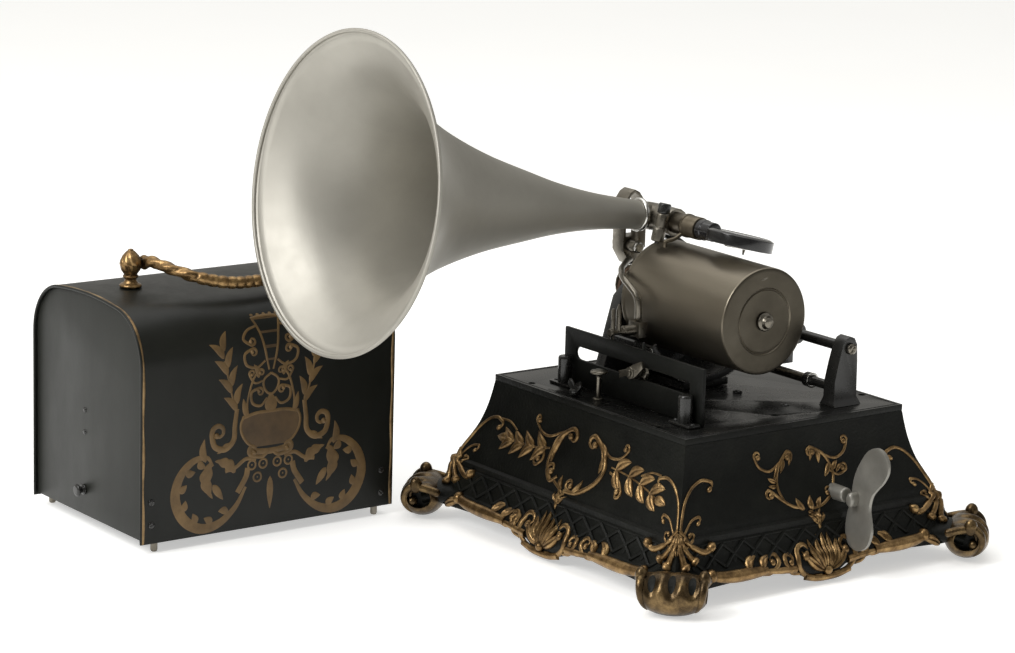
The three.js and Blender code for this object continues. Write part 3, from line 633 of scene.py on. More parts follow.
def apron_shell(relief, u0):
    """The leaf and shell cartouche hanging from the middle of an apron."""
    for hand in (-1, 1):
        relief.curl([(u0 + hand * 6, 7), (u0 + hand * 20, 8), (u0 + hand * 30, 17), (u0 + hand * 29, 28)],
                    2.6, hand=hand, ball=3.2, turns=0.7)
        relief.curl([(u0 + hand * 30, 12), (u0 + hand * 38, 14), (u0 + hand * 43, 21)], 2.0, hand=hand,
                    ball=2.6)
        for tip_u, tip_h, w in ((24, 28, 4.0), (15, 36, 4.2), (6, 39, 3.6)):
            relief.leaf((u0 + hand * 2, 11), (u0 + hand * tip_u, tip_h), w, 4.2, bend=-0.08 * hand)
    relief.leaf((u0, 12), (u0, 42), 3.6, 5.0)
    relief.ball((u0, 11), 4.4, 5.5)
    relief.stem([(u0 - 24, 8.5), (u0 - 12, 5.6), (u0, 5.0), (u0 + 12, 5.6), (u0 + 24, 8.5)], 3.0, 1.0)


def top_flourish(relief, u0):
    for hand in (-1, 1):
        relief.leaf((u0, 46), (u0 + hand * 8, 54), 1.8, 1.6)
        relief.leaf((u0, 50), (u0 + hand * 5, 58), 1.6, 1.6)
    relief.leaf((u0, 42), (u0, 57), 1.8, 2.0)


def laurel(relief, start, end, hand, droop=0.0):
    """A spray of leaves in pairs along a thin stalk."""
    a, b = Vector(start), Vector(end)
    d = b - a
    across = Vector((-d.y, d.x)).normalized()
    line = [a + d * t + across * droop * 4 * t * (1 - t) for t in (0, 0.25, 0.5, 0.75, 1)]
    relief.stem(line, 0.8)
    path = curve(line, 8)
    for i, t in enumerate((0.12, 0.38, 0.64, 0.88)):
        p = path[int(t * (len(path) - 1))]
        for s in (-1, 1):
            tip = p + d.normalized() * 14.5 + across * s * (12 - i)
            relief.leaf(p, tip, 4.5, 2.6, bend=0.12 * s * hand)
        relief.ball(p, 1.5)
    relief.leaf(path[-1], path[-1] + d.normalized() * 15, 4.0, 2.4)


def front_ornament(side, name):
    relief = Relief(on_side(side))
    # cartouche: two facing C scrolls with a break above and below
    relief.curl([(-21, 61), (-31, 72), (-31, 86), (-24, 97), (-14, 104)], 2.3, hand=-1, ball=3.2)
    relief.curl([(-14, 66), (-21, 61), (-28, 66)], 1.8, hand=-1, ball=2.8)
    relief.curl([(0, 57), (16, 59), (32, 69), (38, 81), (33, 94), (20, 104)], 2.3, hand=1, ball=3.2)
    relief.curl([(26, 63), (14, 58), (4, 59)], 1.7, hand=-1, ball=2.6)
    relief.leaf((-30, 78), (-18, 102), 4.0, 2.6, bend=0.16)
    relief.leaf((36, 84), (22, 103), 4.0, 2.6, bend=-0.16)
    relief.leaf((33, 78), (30, 96), 2.6, 2.0, bend=-0.1)
    relief.leaf((-29, 74), (-27, 92), 2.4, 2.0, bend=0.1)
    relief.leaf((10, 58), (18, 70), 3.0, 2.4, bend=-0.15)
    relief.leaf((-4, 58), (-8, 68), 2.6, 2.2, bend=0.15)
    relief.stem([(-16, 62), (-4, 56), (0, 50)], 1.3)
    # tendrils that rise from the shoulders of the cartouche
    relief.curl([(-14, 103), (-26, 99), (-40, 93), (-52, 94), (-61, 101)], 1.3, hand=-1, ball=2.5)
    relief.curl([(20, 103), (31, 98), (42, 93), (54, 95), (61, 102)], 1.3, hand=1, ball=2.5)
    # lower inner curls by the sprays
    relief.curl([(-46, 84), (-40, 76), (-44, 70)], 1.5, hand=-1, ball=2.4)
    relief.curl([(46, 82), (58, 79), (66, 72)], 1.5, hand=-1, ball=2.8)
    laurel(relief, (-36, 84), (-92, 80), -1, droop=2)
    laurel(relief, (46, 86), (108, 76), 1, droop=2)
    for hand in (-1, 1):
        relief.stem([(hand * 84, 88), (hand * 96, 93), (hand * 108, 93)], 1.0)
    top_flourish(relief, -3)
    apron_shell(relief, -6)
    relief.make(name, GILT, "base", angle=50)


def side_ornament(side, name):
    relief = Relief(on_side(side))
    relief.curl([(-24, 66), (-28, 78), (-24, 92), (-14, 103)], 1.5, hand=-1, ball=2.8)
    relief.curl([(30, 72), (33, 84), (26, 97), (14, 104)], 1.5, hand=1, ball=2.8)
    relief.curl([(-10, 104), (-22, 96), (-33, 91), (-43, 95), (-47, 103)], 1.3, hand=-1, ball=2.6)
    relief.curl([(12, 104), (26, 97), (38, 93), (48, 97), (52, 105)], 1.3, hand=1, ball=2.6)
    relief.curl([(-6, 60), (-16, 62), (-26, 68), (-36, 76)], 1.4, hand=1, ball=2.6)
    relief.curl([(30, 84), (38, 80), (46, 82)], 1.3, hand=1, ball=2.4)
    relief.curl([(2, 58), (14, 60), (25, 66)], 1.4, hand=1, ball=2.2)
    for base, tip, w in (((-24, 96), (-30, 84), 2.2), ((-18, 100), (-22, 88), 2.4),
                         ((-10, 104), (-12, 93), 2.4), ((18, 102), (20, 91), 2.4),
                         ((12, 104), (11, 94), 2.2), ((30, 90), (24, 80), 2.6),
                         ((33, 84), (40, 91), 2.4), ((36, 82), (46, 88), 2.0),
                         ((-28, 82), (-36, 86), 2.2), ((-29, 79), (-37, 80), 1.8),
                         ((-6, 58), (-12, 68), 3.0), ((2, 57), (3, 68), 3.2),
                         ((8, 58), (14, 66), 2.6), ((-2, 57), (4, 52), 2.2)):
        relief.leaf(base, tip, w, 2.2, bend=0.08)
    top_flourish(relief, 6)
    apron_shell(relief, 6)
    relief.make(name, GILT, "base", angle=50)


def corner_leaf(side, name):
    """Two thin stems up the corner edge and an acanthus fan with beads over the foot."""
    relief = Relief(on_corner(side), sink=1.2)
    for hand in (-1, 1):
        relief.curl(flip(hand, (1.4, 42), (2.0, 56), (2.4, 70), (4, 80), (10, 89), (19, 93), (28, 91)),
                    1.5, hand=-hand, ball=2.6, turns=0.4)
        relief.curl(flip(hand, (3, 50), (7, 58), (12, 65), (18, 67)), 1.2, hand=-hand, ball=2.0,
                    turns=0.5)
        relief.curl(flip(hand, (4, 50), (10, 47), (15, 51)), 1.3, hand=hand, ball=2.3, turns=0.5)
        for line, w in (([(1.2, 60), (9, 51), (20, 44), (29, 41), (34, 44)], 3.2),
                        ([(1.0, 58), (6, 48), (13, 39.5), (18, 35.5)], 3.0),
                        ([(0.8, 56), (3.0, 46), (6.5, 37), (9, 31.5)], 3.2)):
            line = flip(hand, *line)
            relief.stem(line, lambda t, w=w: 1.3 + (w - 1.3) * t ** 0.8, 1.2, 8, 8)
            relief.ball(line[-1], w * 1.35, w * 1.9)
        relief.leaf(*flip(hand, (24, 13), (44, 21)), 4.2, 3.4, bend=0.10 * hand)
    relief.make(name, GILT, "base", angle=50)


FOOT_OUT = 42  # a foot's centre, outwards from the deck's corner along each side
FOOT_TALL = 17.3  # half height of the roll
FOOT_DEEP = 19.0  # half depth of the roll, outwards from the corner
FOOT_WIDE = 27.0  # half width
FLUTES = (-16.0, 0.0, 16.0)  # across the roll
FLUTE_ANGLE = 0.95  # how far up the roll a flute is deepest


def foot_point(x, a, lift=0.0, scale=1.0):
    """A point on the roll at x across it and angle a round it (0 outwards, a quarter turn up).

    The roll is full width above and rounded like a cup below, with flutes down its front."""
    s = min(1.0, abs(x) / FOOT_WIDE)
    cup = 1 - (1 - math.sqrt(1 - 0.84 * s * s)) * (0.62 - 0.38 * math.sin(a))
    hollow = 0.0
    for c in FLUTES:
        d = ((x - c) / 5.2) ** 2 + ((a - FLUTE_ANGLE) / 0.85) ** 2
        hollow += 3.6 * math.exp(-d * d)
    less = (lift - hollow * (scale > 0.9)) / FOOT_TALL
    return Vector((x, FOOT_DEEP * (scale * cup + less) * math.cos(a),
                   max(0.0, FOOT_TALL * (1 + (scale * cup + less) * math.sin(a)))))


def foot(sx, sy, name):
    """A rolled scroll foot: a cushion with hollow ends, a rim round each and beads on the
    shoulders. Local Y points outwards over the corner."""
    angle = math.atan2(sy, sx) - PI / 2
    where = (Matrix.Translation(Vector((sx * (TOP_X + FOOT_OUT), sy * (TOP_Y + FOOT_OUT), 0)))
             @ Matrix.Rotation(angle, 4, "Z"))
    seg = 96
    half_profile = [(float(w), 1.0) for w in np.arange(0.04, 0.78, 0.04)]
    half_profile += [(0.82, 0.99), (0.90, 0.965), (0.96, 0.925), (1.0, 0.86), (0.985, 0.79), (0.95, 0.735),
                     (0.86, 0.70), (0.74, 0.67), (0.68, 0.55), (0.66, 0.3), (0.66, 0.02)]
    profile = [(-w, r) for w, r in half_profile[::-1]] + [(0.0, 1.0)] + half_profile
    rings = []
    for w, r in profile:
        rings.append([foot_point(w * FOOT_WIDE, 2 * PI * k / seg - PI, 0.0, r) for k in range(seg)])
    shape = Shape().loft(rings)
    for end in (-1, 1):
        # rim that runs from the shoulder bead down the front and under the roll
        line = [foot_point(end * FOOT_WIDE * (0.93 - 0.25 * (k / 18) ** 3), 1.45 - 2.6 * k / 18, -0.4, 0.96)
                for k in range(19)]
        tube(line, lambda t: 3.6 - 2.2 * t ** 2, 12, 2, shape=shape)
        # the roll's inner end: a strand that turns in to a bead
        line = []
        for k in range(22):
            a = 2.5 - k * 0.13
            r = 0.80 - 0.46 * (k / 21) ** 1.5
            line.append(Vector((end * (FOOT_WIDE * 0.86 - 2.4 * k / 21), FOOT_DEEP * r * math.cos(a),
                                FOOT_TALL * (1 + r * math.sin(a)))))
        tube(line, lambda t: 2.6 - 0.8 * t, 10, 2, shape=shape)
        bead = revolve([(4.4 * math.cos(a), 4.4 * math.sin(a)) for a in
                        np.linspace(-PI / 2, PI / 2, 11)], 20)
        shape.add([Vector((end * 22 + v.z, line[-1].y + v.y, line[-1].z + v.x)) for v in bead.verts],
                  bead.faces)
        # shoulder bead, taller than it is wide
        shape.add([Vector((end * 25 + v.x * 1.15, 3.0 + v.y * 1.3, 31.5 + v.z * 1.7)) for v in bead.verts],
                  bead.faces)
        tube([(end * 25, 2, 30), (end * 25.5, -8, 28), (end * 26, -18, 25)], 3.6, 12, 5, shape=shape)
    shape.make(name, FOOT_GILT, "base", turn=where, angle=50)
    # dark neck that carries the roll, and dark linings of the hollows, which are painted shade
    dark = Shape()
    tube([(0, -34, 21), (0, -20, 21.5), (0, -8, 20), (0, 0, 18)], 21, 28, 5, squash=0.46, shape=dark)
    for c in FLUTES:
        rings = []
        for lift, order in ((0.3, range(0, 7)), (-0.8, range(6, -1, -1))):
            for k in order:
                f = max(0.02, k / 6)
                rings.append([foot_point(c + 2.9 * f * math.cos(q),
                                         FLUTE_ANGLE + 0.62 * f * math.sin(q), lift)
                              for q in np.linspace(0, 2 * PI, 24, endpoint=False)])
        dark.loft(rings)
    # black bands inside the roll's hollow ends, also painted shade
    for end in (-1, 1):
        rings = []
        for w, r in ((0.64, 0.02), (0.64, 0.50), (0.675, 0.50), (0.675, 0.02)):
            rings.append([Vector((end * FOOT_WIDE * w + end * 0.3, FOOT_DEEP * r * math.cos(a),
                                  FOOT_TALL * (1 + r * math.sin(a))))
                          for a in np.linspace(0, 2 * PI, 40, endpoint=False)])
        dark.loft(rings)
    dark.make(name + "_neck", CAST, "base", turn=where, slot="iron", angle=50)


def screw(name, at, r, mat, body, tall=1.6, slot_turn=0.4, axis="z", origin=MACHINE, turn=None):
    """A domed screw head with a cut slot."""
    dome = rounded([(0, -1.0), (r, -1.0), (r, tall * 0.45), (r * 0.62, tall * 0.9), (0, tall)], 0.3, 3)
    seg = 32
    rings = []
    for q, s in dome:
        ring = []
        for k in range(seg):
            a = 2 * PI * k / seg
            x, y = q * math.cos(a), q * math.sin(a)
            across = -x * math.sin(slot_turn) + y * math.cos(slot_turn)
            dip = 0.55 * tall * math.exp(-((across / (0.16 * r)) ** 4)) if s > tall * 0.4 else 0
            ring.append(Vector((max(q, 1e-3) * math.cos(a), max(q, 1e-3) * math.sin(a), s - dip)))
        rings.append(ring)
    return Shape().loft(rings).make(name, mat, body, turn=turn_at(axis, at) if turn is None else turn,
                                    at=origin)


def base():
    base_shell()
    lattice()
    apron_moulding()
    front_ornament("front", "front_ornament")
    front_ornament("back", "back_ornament")
    side_ornament("right", "right_ornament")
    side_ornament("left", "left_ornament")
    for side in SIDES:
        corner_leaf(side, "corner_leaf_" + side)
    for i, (sx, sy) in enumerate(((1, -1), (1, 1), (-1, 1), (-1, -1))):
        foot(sx, sy, f"scroll_foot_{i + 1}")
    deck = refine("deck_plate", DECK_FINISH, "base", 0.4, 2)
    deck.data.materials.append(CAST)
    for face in deck.data.polygons:
        if abs(face.normal.z) < 0.9:
            face.material_index = 1
    edge = Relief(lambda u, h, lift: Vector((u, h, DECK + lift)), sink=0.3)
    x, y = TOP_X - 3.2, TOP_Y - 3.2
    for a, b in (((-x, -y), (x, -y)), ((x, -y), (x, y)), ((x, y), (-x, y)), ((-x, y), (-x, -y))):
        edge.stem([a, b], 0.45, 0.9, 2, 5)
    edge.make("deck_edge_line", DECK_FINISH, "base", slot="iron")
    for i, (sx, sy, r) in enumerate(((-61, -43, 3.0), (-47, -41, 2.8), (21, -62, 3.4),
                                     (26, 23, 4.0), (81, 28, 3.8))):
        screw(f"deck_screw_{i + 1}", (sx, sy, DECK), r, BRIGHT if i < 3 else GLOSS, "base",
              slot_turn=0.4 + i)


# ---------------------------------------------------------------- works on the deck
DRUM_AT = middle("mandrel") - MACHINE
ROD_AT = middle("guide_rod") - MACHINE
FEED_AT = middle("feed_screw") - MACHINE


def threaded(name, r, x0, x1, pitch, at, mat, body, **more):
    """A screw thread cut along a bar on the X axis, with plain ends."""
    seg, per = 20, 8
    steps = int((x1 - x0) / pitch * per)
    rings = []
    for i in range(steps + 1):
        s = x0 + (x1 - x0) * i / steps
        ring = []
        for k in range(seg):
            a = 2 * PI * k / seg
            wave = ((s / pitch - k / seg) % 1.0)
            plain = min(1, min(s - x0, x1 - s) / 3)
            q = r - 0.45 * plain * (1 - abs(2 * wave - 1))
            ring.append(Vector((q * math.cos(a), q * math.sin(a), s)))
        rings.append(ring)
    return Shape().loft(rings).make(name, mat, body, turn=turn_at("x", (0, at.y, at.z)),
                                    angle=70, **more)


def mandrel():
    y, z = DRUM_AT.y, DRUM_AT.z
    low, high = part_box("mandrel")
    x0, x1 = low.x / MM - MACHINE.x, high.x / MM - MACHINE.x
    section = [(6.4, x0 + 2), (14, x0 + 2), (14, x0 + 4), (44, x0 + 4), (46.0, x0 + 1.5),
               (46.5, x0 + 1), (46.5, x0 + 3), (46.1, x0 + 5), (45, x1 - 1.6), (44.2, x1 - 0.4),
               (42, x1 - 0.1), (28.6, x1), (28.0, x1 - 0.5), (27.4, x1 - 1.4), (26.6, x1 - 1.4),
               (26.2, x1 - 0.5), (25.4, x1 - 0.7), (8, x1 - 0.6), (6.4, x1 - 0.6)]
    drum = lathe("mandrel_drum", section, DRUM, "mandrel", "x", (0, y, z), 0.6, 160,
                 replaces=("mandrel",), slot="nickel")
    # the +X end face takes the darker copy of the nickel, which is painted shade
    drum.data.materials.append(DRUM_END_PAINTED_SHADE)
    for face in drum.data.polygons:
        if face.normal.z > 0.8:
            face.material_index = 1
    lathe("mandrel_spindle", [(0, -112), (6, -112), (6, -64.5), (8, -64.5), (8, -62), (6, -61.5),
                              (6, 71.8), (8, 71.8), (8, 73.6), (6.6, 74.4), (5.6, 74.6), (4.8, 76.6),
                              (4.4, 78.0), (1.4, 78.6), (0, 78.6)], NICKEL, "mandrel", "x", (0, y, z),
          0.5, 48, replaces=("mandrel_shaft",), slot="steel")
    mark = Relief(lambda u, h, lift: Vector((x1 - 0.2 + lift, y + u, z + h)), sink=0.4)
    mark.ball((-2, 35.5), 2.4, 0.35)
    mark.leaf((-6, 35.2), (3, 37.2), 0.9, 0.4)
    mark.make("drum_mark", NICKEL, "mandrel")
    refine("mandrel_pulley", BRONZE, "mandrel", 0.3)
    refine("idler_gear", BRONZE, "idler", 0.3)
    refine("mandrel_standard", GLOSS, "base", 1.0, 3)
    lathe("feed_screw_bar", [(0, -99), (4, -99), (4, -97), (3.6, -92.6), (3.6, -78), (0, -78)], BRIGHT,
          "feed", "x", (0, FEED_AT.y, FEED_AT.z), 0.4, 32)
    threaded("feed_screw_thread", 4.0, -79, 66.5, 1.6, FEED_AT, GLOSS, "feed")
    lathe("feed_screw_collar", [(0, 66), (6.2, 66), (6.2, 73), (4, 73), (4, 95), (0, 95)], GLOSS,
          "feed", "x", (0, FEED_AT.y, FEED_AT.z), 0.6, 40)
    lathe("collar_ring", [(4.2, 71.6), (6.5, 71.6), (6.5, 73.4), (4.2, 73.4)], BRIGHT, "feed", "x",
          (0, FEED_AT.y, FEED_AT.z), 0.4, 40)
    feed_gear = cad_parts["feed_screw"]
    feed_gear.data.materials.clear()
    feed_gear.data.materials.append(NICKEL)


START_AT = (-13, -95, 0)
RAIL_POSTS = (("left", -68), ("right", 92))
POST_Y = -88.2


def rod_and_posts():
    lathe("guide_rod_bar", [(0, -84), (4.5, -84), (4.5, 108.8), (0, 108.8)], GLOSS, "base", "x",
          (0, ROD_AT.y, ROD_AT.z), 0.6, 48, replaces=("guide_rod",), slot="black")
    screw("guide_rod_screw", (108.9, ROD_AT.y, ROD_AT.z), 4.6, NICKEL, "base", 2.4, 0.9, "x")
    refine("rear_post", GLOSS, "base", 1.3, 4)
    refine("front_rail", JAPAN, "base", 0.5, 2)
    tray()
    for side, x in RAIL_POSTS:
        shape = revolve(rounded([(0, 129.2), (6, 129.2), (6, 150.6), (5.2, 152.2), (0, 152.5)], 0.6), 48)
        shape.verts = [v + Vector((x, POST_Y, 0)) for v in shape.verts]
        plate = [(x - 14, -95), (x + 14, -95), (x + 14, -82), (x - 14, -82)]
        flange = prism(rounded(plate, 3.2, 4, closed=True), 127.3, 129.6, 0.6)
        shape.add(flange.verts, flange.faces)
        shape.make(f"rail_stud_{side}", GLOSS, "base", replaces=(f"rail_post_{side}",), slot="black")
        for k, dx in enumerate((-10.5, 10.5)):
            screw(f"stud_screw_{side}_{k + 1}", (x + dx, -88.6, 129.6), 2.2, GLOSS, "base", 1.2, k + 0.5)
    lathe("start_knob_turned", [(0, 112), (2, 112), (2, 146), (2.6, 147.6), (3.8, 148.6), (7.0, 149.2),
                                (7.5, 150.2), (6.8, 151.2), (3.4, 152.3), (0, 152.6)], NICKEL, "start",
          "z", START_AT, 0.5, 48, replaces=("start_knob",), slot="nickel")
    lathe("start_knob_seat", [(2.3, 127.1), (4.6, 127.1), (4.2, 128.4), (2.3, 128.8)], NICKEL, "base", "z",
          START_AT, 0.3, 32)
    refine("speed_screw", GLOSS, "speed", 0.5)
    refine("rail_stop", NICKEL, "stop", 0.25, 2, dissolve=False)


def tray():
    """A rolled sheet under the drum on a flat foot, its free edge turned over a wire."""
    low, high = -PI + 0.47, -0.95

    def arc(r0, r1, x0, x1, ease):
        rings = []
        for a in np.linspace(low, high, 49):
            loop = rounded([(x0, r0), (x1, r0), (x1, r1), (x0, r1)], ease, 3, closed=True)
            rings.append([Vector((p.x, DRUM_AT.y + p.y * math.cos(a), DRUM_AT.z + p.y * math.sin(a)))
                          for p in loop])
        return rings
    sheet = Shape().loft(arc(64, 66, -60, -1, 0.4))
    foot_plate = prism([(-60, -14), (0, -14), (0, 34), (-60, 34)], 127.2, 133.4, 0.8)
    sheet.add(foot_plate.verts, foot_plate.faces)
    sheet.make("tray_sheet", GLOSS, "base", replaces=("swarf_tray",), slot="black")
    Shape().loft(arc(60.6, 67.4, -3, 0, 1.0)).make("tray_rim", GLOSS, "base", slot="black")
    # a thin bright strip along the outside of the rim: painted highlight
    Shape().loft(arc(66.6, 68.0, -2.6, -0.2, 0.5)).make("tray_edge_painted_highlight", BRIGHT, "base", slot="steel")


def carriage():
    refine("carriage_sleeve", GLOSS, "carriage", 0.7, 3)
    refine("carriage_arm", GLOSS, "arm", 0.5)
    refine("stirrup", NICKEL, "arm", 0.9, 3)
    refine("rocker_pin", BRIGHT, "arm", 0.5)
    tube([(-94.3, -1.7, 222), (-88, -10, 221.5), (-78, -21, 221), (-62, -36, 222), (-48, -45.5, 219),
          (-38, -47, 214.5), (-28, -47, 208), (-24.3, -46.8, 200), (-24.2, -46.7, 186.5)],
         lambda t: 3.1 - 0.4 * math.sin(PI * t), 20, 8
         ).make("tracker_strap", NICKEL, "arm", replaces=("tracker_rod",), slot="steel")
    refine("tracker_block", NICKEL, "arm", 0.7, 3)


REPRODUCER_TILT = Matrix.Rotation(math.radians(-13.7), 4, "X")
CLAMP_AT = Vector((-47, -7.6, 260))
SOUND_BOX_AT = Vector((24, 20, 257))


def sound_parts():
    refine("elbow", NICKEL, "rocker", 0.8, 3)
    clamp = Matrix.Translation(CLAMP_AT) @ REPRODUCER_TILT
    lathe("clamp_sleeve", [(2.4, -14), (4.8, -14), (5.6, -12.8), (5.6, -3.4), (4.7, -2.6), (4.7, -2),
                           (5.4, -1.4), (5.4, 9), (4.8, 10), (2.4, 10)], NICKEL, "rocker", ease=0.4,
          seg=48, turn=clamp, replaces=("clamp_barrel",), slot="steel")
    lathe("clamp_cap", [(0, -15.5), (2, -15.5), (2, 10.3), (5.0, 10.3), (5.4, 11.4), (5.4, 17.8),
                        (4.6, 19), (0, 19)], GLOSS, "rocker", ease=0.4, seg=48, turn=clamp,
          replaces=("clamp_bolt",), slot="black")
    refine("reproducer_tube", BRONZE, "rocker", 0.5)
    box_at = Matrix.Translation(SOUND_BOX_AT) @ REPRODUCER_TILT
    lathe("sound_box", [(0, 4.6), (21, 4.9), (24.5, 5.5), (28.5, 3.8), (28.5, -5.5), (24.2, -5.5),
                        (24.2, -3.0), (0, -3.0)], EBONITE, "rocker", seg=96, turn=box_at,
          replaces=("reproducer_body",), slot="ebonite")
    lathe("sound_box_neck", [(0, -8), (4.2, -8), (4.2, -15.7), (8.0, -15.7), (8.8, -14.6), (8.8, -9.4),
                             (8.0, -8.6), (8.0, 1.4), (0, 1.8)], EBONITE, "rocker", "x",
          (0, 11, 260.4), 0.4, 48, slot="ebonite")
    refine("stylus_bar", BRIGHT, "rocker", 0.2)


HORN_AT = Vector((-82, -1.2, 262.6))
HORN_TILT = 8.3  # degrees, how far the horn rises towards its mouth
# radius, distance from the small end
HORN_LINE = [(12, 0), (15.3, 50), (21.4, 92), (30.3, 131), (40.6, 172), (52.6, 208), (65.5, 238),
             (81, 264), (101, 287), (130.2, 308)]


def horn():
    placed = Matrix.Translation(HORN_AT) @ Matrix.Rotation(math.radians(90 - HORN_TILT), 4, "X")
    outer = curve(HORN_LINE, 8)
    # the rim is rolled over a wire
    bead = [Vector((130.3 + 1.8 * math.cos(a), 308.0 + 1.8 * math.sin(a)))
            for a in (-0.6 + 2 * PI * 0.80 * k / 12 for k in range(13))]
    inner = [Vector((p.x - 1.3, p.y + 0.4)) for p in reversed(outer[:-1])]
    bell = revolve([*outer, *bead, *inner], 160)
    bell.make("horn_bell", ALU, "horn", turn=placed, replaces=("horn",), slot="aluminium", angle=60)
    lathe("horn_collar", [(12.3, 0.8), (13.6, 0.8), (14.8, 2), (14.8, 4), (13.8, 5.2), (12.4, 5.2)],
          BRIGHT, "horn", seg=64, turn=placed, replaces=("horn_ring",), slot="nickel")


KEY_Y, KEY_Z = 30, 68


def key():
    lathe("key_barrel", [(0, 132.3), (8.6, 132.3), (8.6, 134.0), (6.8, 134.6), (6.6, 140), (6.2, 158),
                         (5.4, 159.4), (0, 159.6)], SATIN, "winding", "x", (0, KEY_Y, KEY_Z), 0.5, 48,
          replaces=("key_shaft",), slot="nickel")
    outline = curve([(160.3, 70), (159.5, 60), (157.6, 50), (158, 38), (162, 29), (169, 25),
                     (177, 25), (185, 31), (188, 42), (185.5, 52), (182.5, 62), (184, 72), (189, 79),
                     (195, 86), (199, 95), (197.5, 104), (191, 110.5), (182, 112), (173, 107),
                     (166.5, 97), (161.5, 84), (160.3, 70)], 4)[:-1]
    middle_line = curve([(172, 30), (172, 46), (171, 60), (172, 70), (177, 84), (183, 98), (186, 106)], 8)
    layers = 6
    rings = []
    spine = [min(middle_line, key=lambda q, o=o: (q - o).length) for o in outline]

    def dish(q, f):
        """Half thickness at q, hollowed in both lobes; f is 0 on the spine and 1 at the edge."""
        upper = math.exp(-(((q.x - 184) / 12) ** 2 + ((q.y - 96) / 14) ** 2) ** 1.5)
        lower = math.exp(-(((q.x - 172) / 11) ** 2 + ((q.y - 42) / 15) ** 2) ** 1.5)
        return 2.2 - 1.7 * upper - 0.5 * lower - 0.5 * f ** 6
    for face, order in ((1, range(layers + 1)), (-1, range(layers, -1, -1))):
        for k in order:
            f = k / layers
            ring = []
            for o, s in zip(outline, spine):
                q = s + (o - s) * (0.02 + 0.98 * f)
                depth = dish(q, f) if face == 1 else 1.9 - 0.6 * f ** 6
                ring.append(Vector((q.x, -face * depth, q.y)))
            rings.append(ring)
    shape = Shape().loft(rings)
    tilt = Matrix.Rotation(math.radians(-5), 4, "X")
    shape.verts = [tilt @ v for v in shape.verts]
    rivet = revolve(rounded([(0, -4.2), (4.2, -4.2), (4.2, 2.6), (3.0, 4.4), (0, 4.8)], 0.8), 32)
    turned = AXES["y"].to_3x3()
    shape.add([turned @ Vector((v.x, v.y * 1.5, -v.z)) + Vector((166.5, 0, 66)) for v in rivet.verts],
              rivet.faces)
    shape.make("key_wing_forged", SATIN, "winding", turn=Matrix.Translation(Vector((0, KEY_Y, 0.0))),
               replaces=("key_wing",), slot="nickel", angle=50)


def motor():
    """The works inside stay as they are in the CAD, each with its own metal."""
    metals = {BRASS: ["motor_plate_left", "motor_plate_right", "spring_barrel", "barrel_cover",
                      "governor_disc", "governor_weight_1", "governor_weight_2",
                      "governor_weight_3", "drive_pulley"],
              BRIGHT: ["mainspring", "winding_arbor", "ratchet_wheel", "ratchet_pawl",
                       "second_arbor", "governor_spindle"],
              LEATHER: ["drive_belt"], MICA: ["diaphragm"]}
    for mat, names in metals.items():
        for name in names:
            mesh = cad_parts[name].data
            mesh.materials.clear()
            mesh.materials.append(mat)


# ---------------------------------------------------------------- cover
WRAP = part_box("cover_wrap")
HX = (WRAP[1].x - WRAP[0].x) / 2 / MM
HY = (WRAP[1].y - WRAP[0].y) / 2 / MM
COVER_TOP = WRAP[1].z / MM
COVER_FOOT = 8  # the wrapper's lower edge, above its pegs
SHOULDER = 46
CROWN = 3  # rise of the top between the shoulders
SHEET = 1.6
END_INSET = 3  # how far the end panels sit inside the wrapper's edge
PEG_X, PEG_Y = 86, 109  # the pegs it stands on


def arch(inset, foot, per=14):
    """Section of the cover across Y: straight sides, round shoulders and a slightly domed top."""
    w, top, r = HX - inset, COVER_TOP - inset, SHOULDER - inset
    pts = [Vector((-w, foot)), Vector((-w, foot + 20)), Vector((-w, top - CROWN - r - 20))]
    for i in range(per + 1):
        a = PI - i / per * PI / 2 * 0.93
        pts.append(Vector((-w + r + r * math.cos(a), top - CROWN - r + r * math.sin(a))))
    pts += [pts[-1] + (Vector((0, top)) - pts[-1]) * t + Vector((0, 0.7 * math.sin(PI * t)))
            for t in (0.33, 0.66)]
    mirror = [Vector((-p.x, p.y)) for p in reversed(pts)]
    return pts + [Vector((0, top))] + mirror


def cover_side(u, h, lift):
    """A point on the cover's +X side at u along it and height h, over the shoulder when high."""
    straight = COVER_TOP - CROWN - SHOULDER
    if h <= straight:
        return Vector((HX + lift, u, h))
    a = (h - straight) / SHOULDER
    return Vector((HX - SHOULDER + (SHOULDER + lift) * math.cos(a), u,
                   straight + (SHOULDER + lift) * math.sin(a)))


def cover_shell():
    outer = arch(0, COVER_FOOT)
    loop = outer + arch(SHEET, COVER_FOOT)[::-1]
    ys = [-HY, -HY + 0.5] + list(np.linspace(-HY + 2, HY - 2, 30)) + [HY - 0.5, HY]
    shape = Shape().loft([[Vector((p.x, y, p.y)) for p in loop] for y in ys], caps=False)
    m = len(loop)
    for start, flip in ((0, False), ((len(ys) - 1) * m, True)):
        for i in range(len(outer) - 1):
            quad = [start + i, start + m - 1 - i, start + m - 2 - i, start + i + 1]
            shape.faces.append(quad[::-1] if flip else quad)
    shape.make("cover_body", ENAMEL, "cover", at=COVER, replaces=("cover_wrap",), slot="enamel", angle=40)
    pegs = Shape()
    for sx in (-1, 1):
        for sy in (-1, 1):
            peg = revolve(rounded([(0, 0), (2.4, 0), (3, 1.5), (3, 11), (5, 12), (5, 16), (0, 16)], 0.4), 24)
            pegs.add([v + Vector((sx * PEG_X, sy * PEG_Y, 0)) for v in peg.verts], peg.faces)
    pegs.make("cover_pegs", NICKEL, "cover", at=COVER, slot="steel")


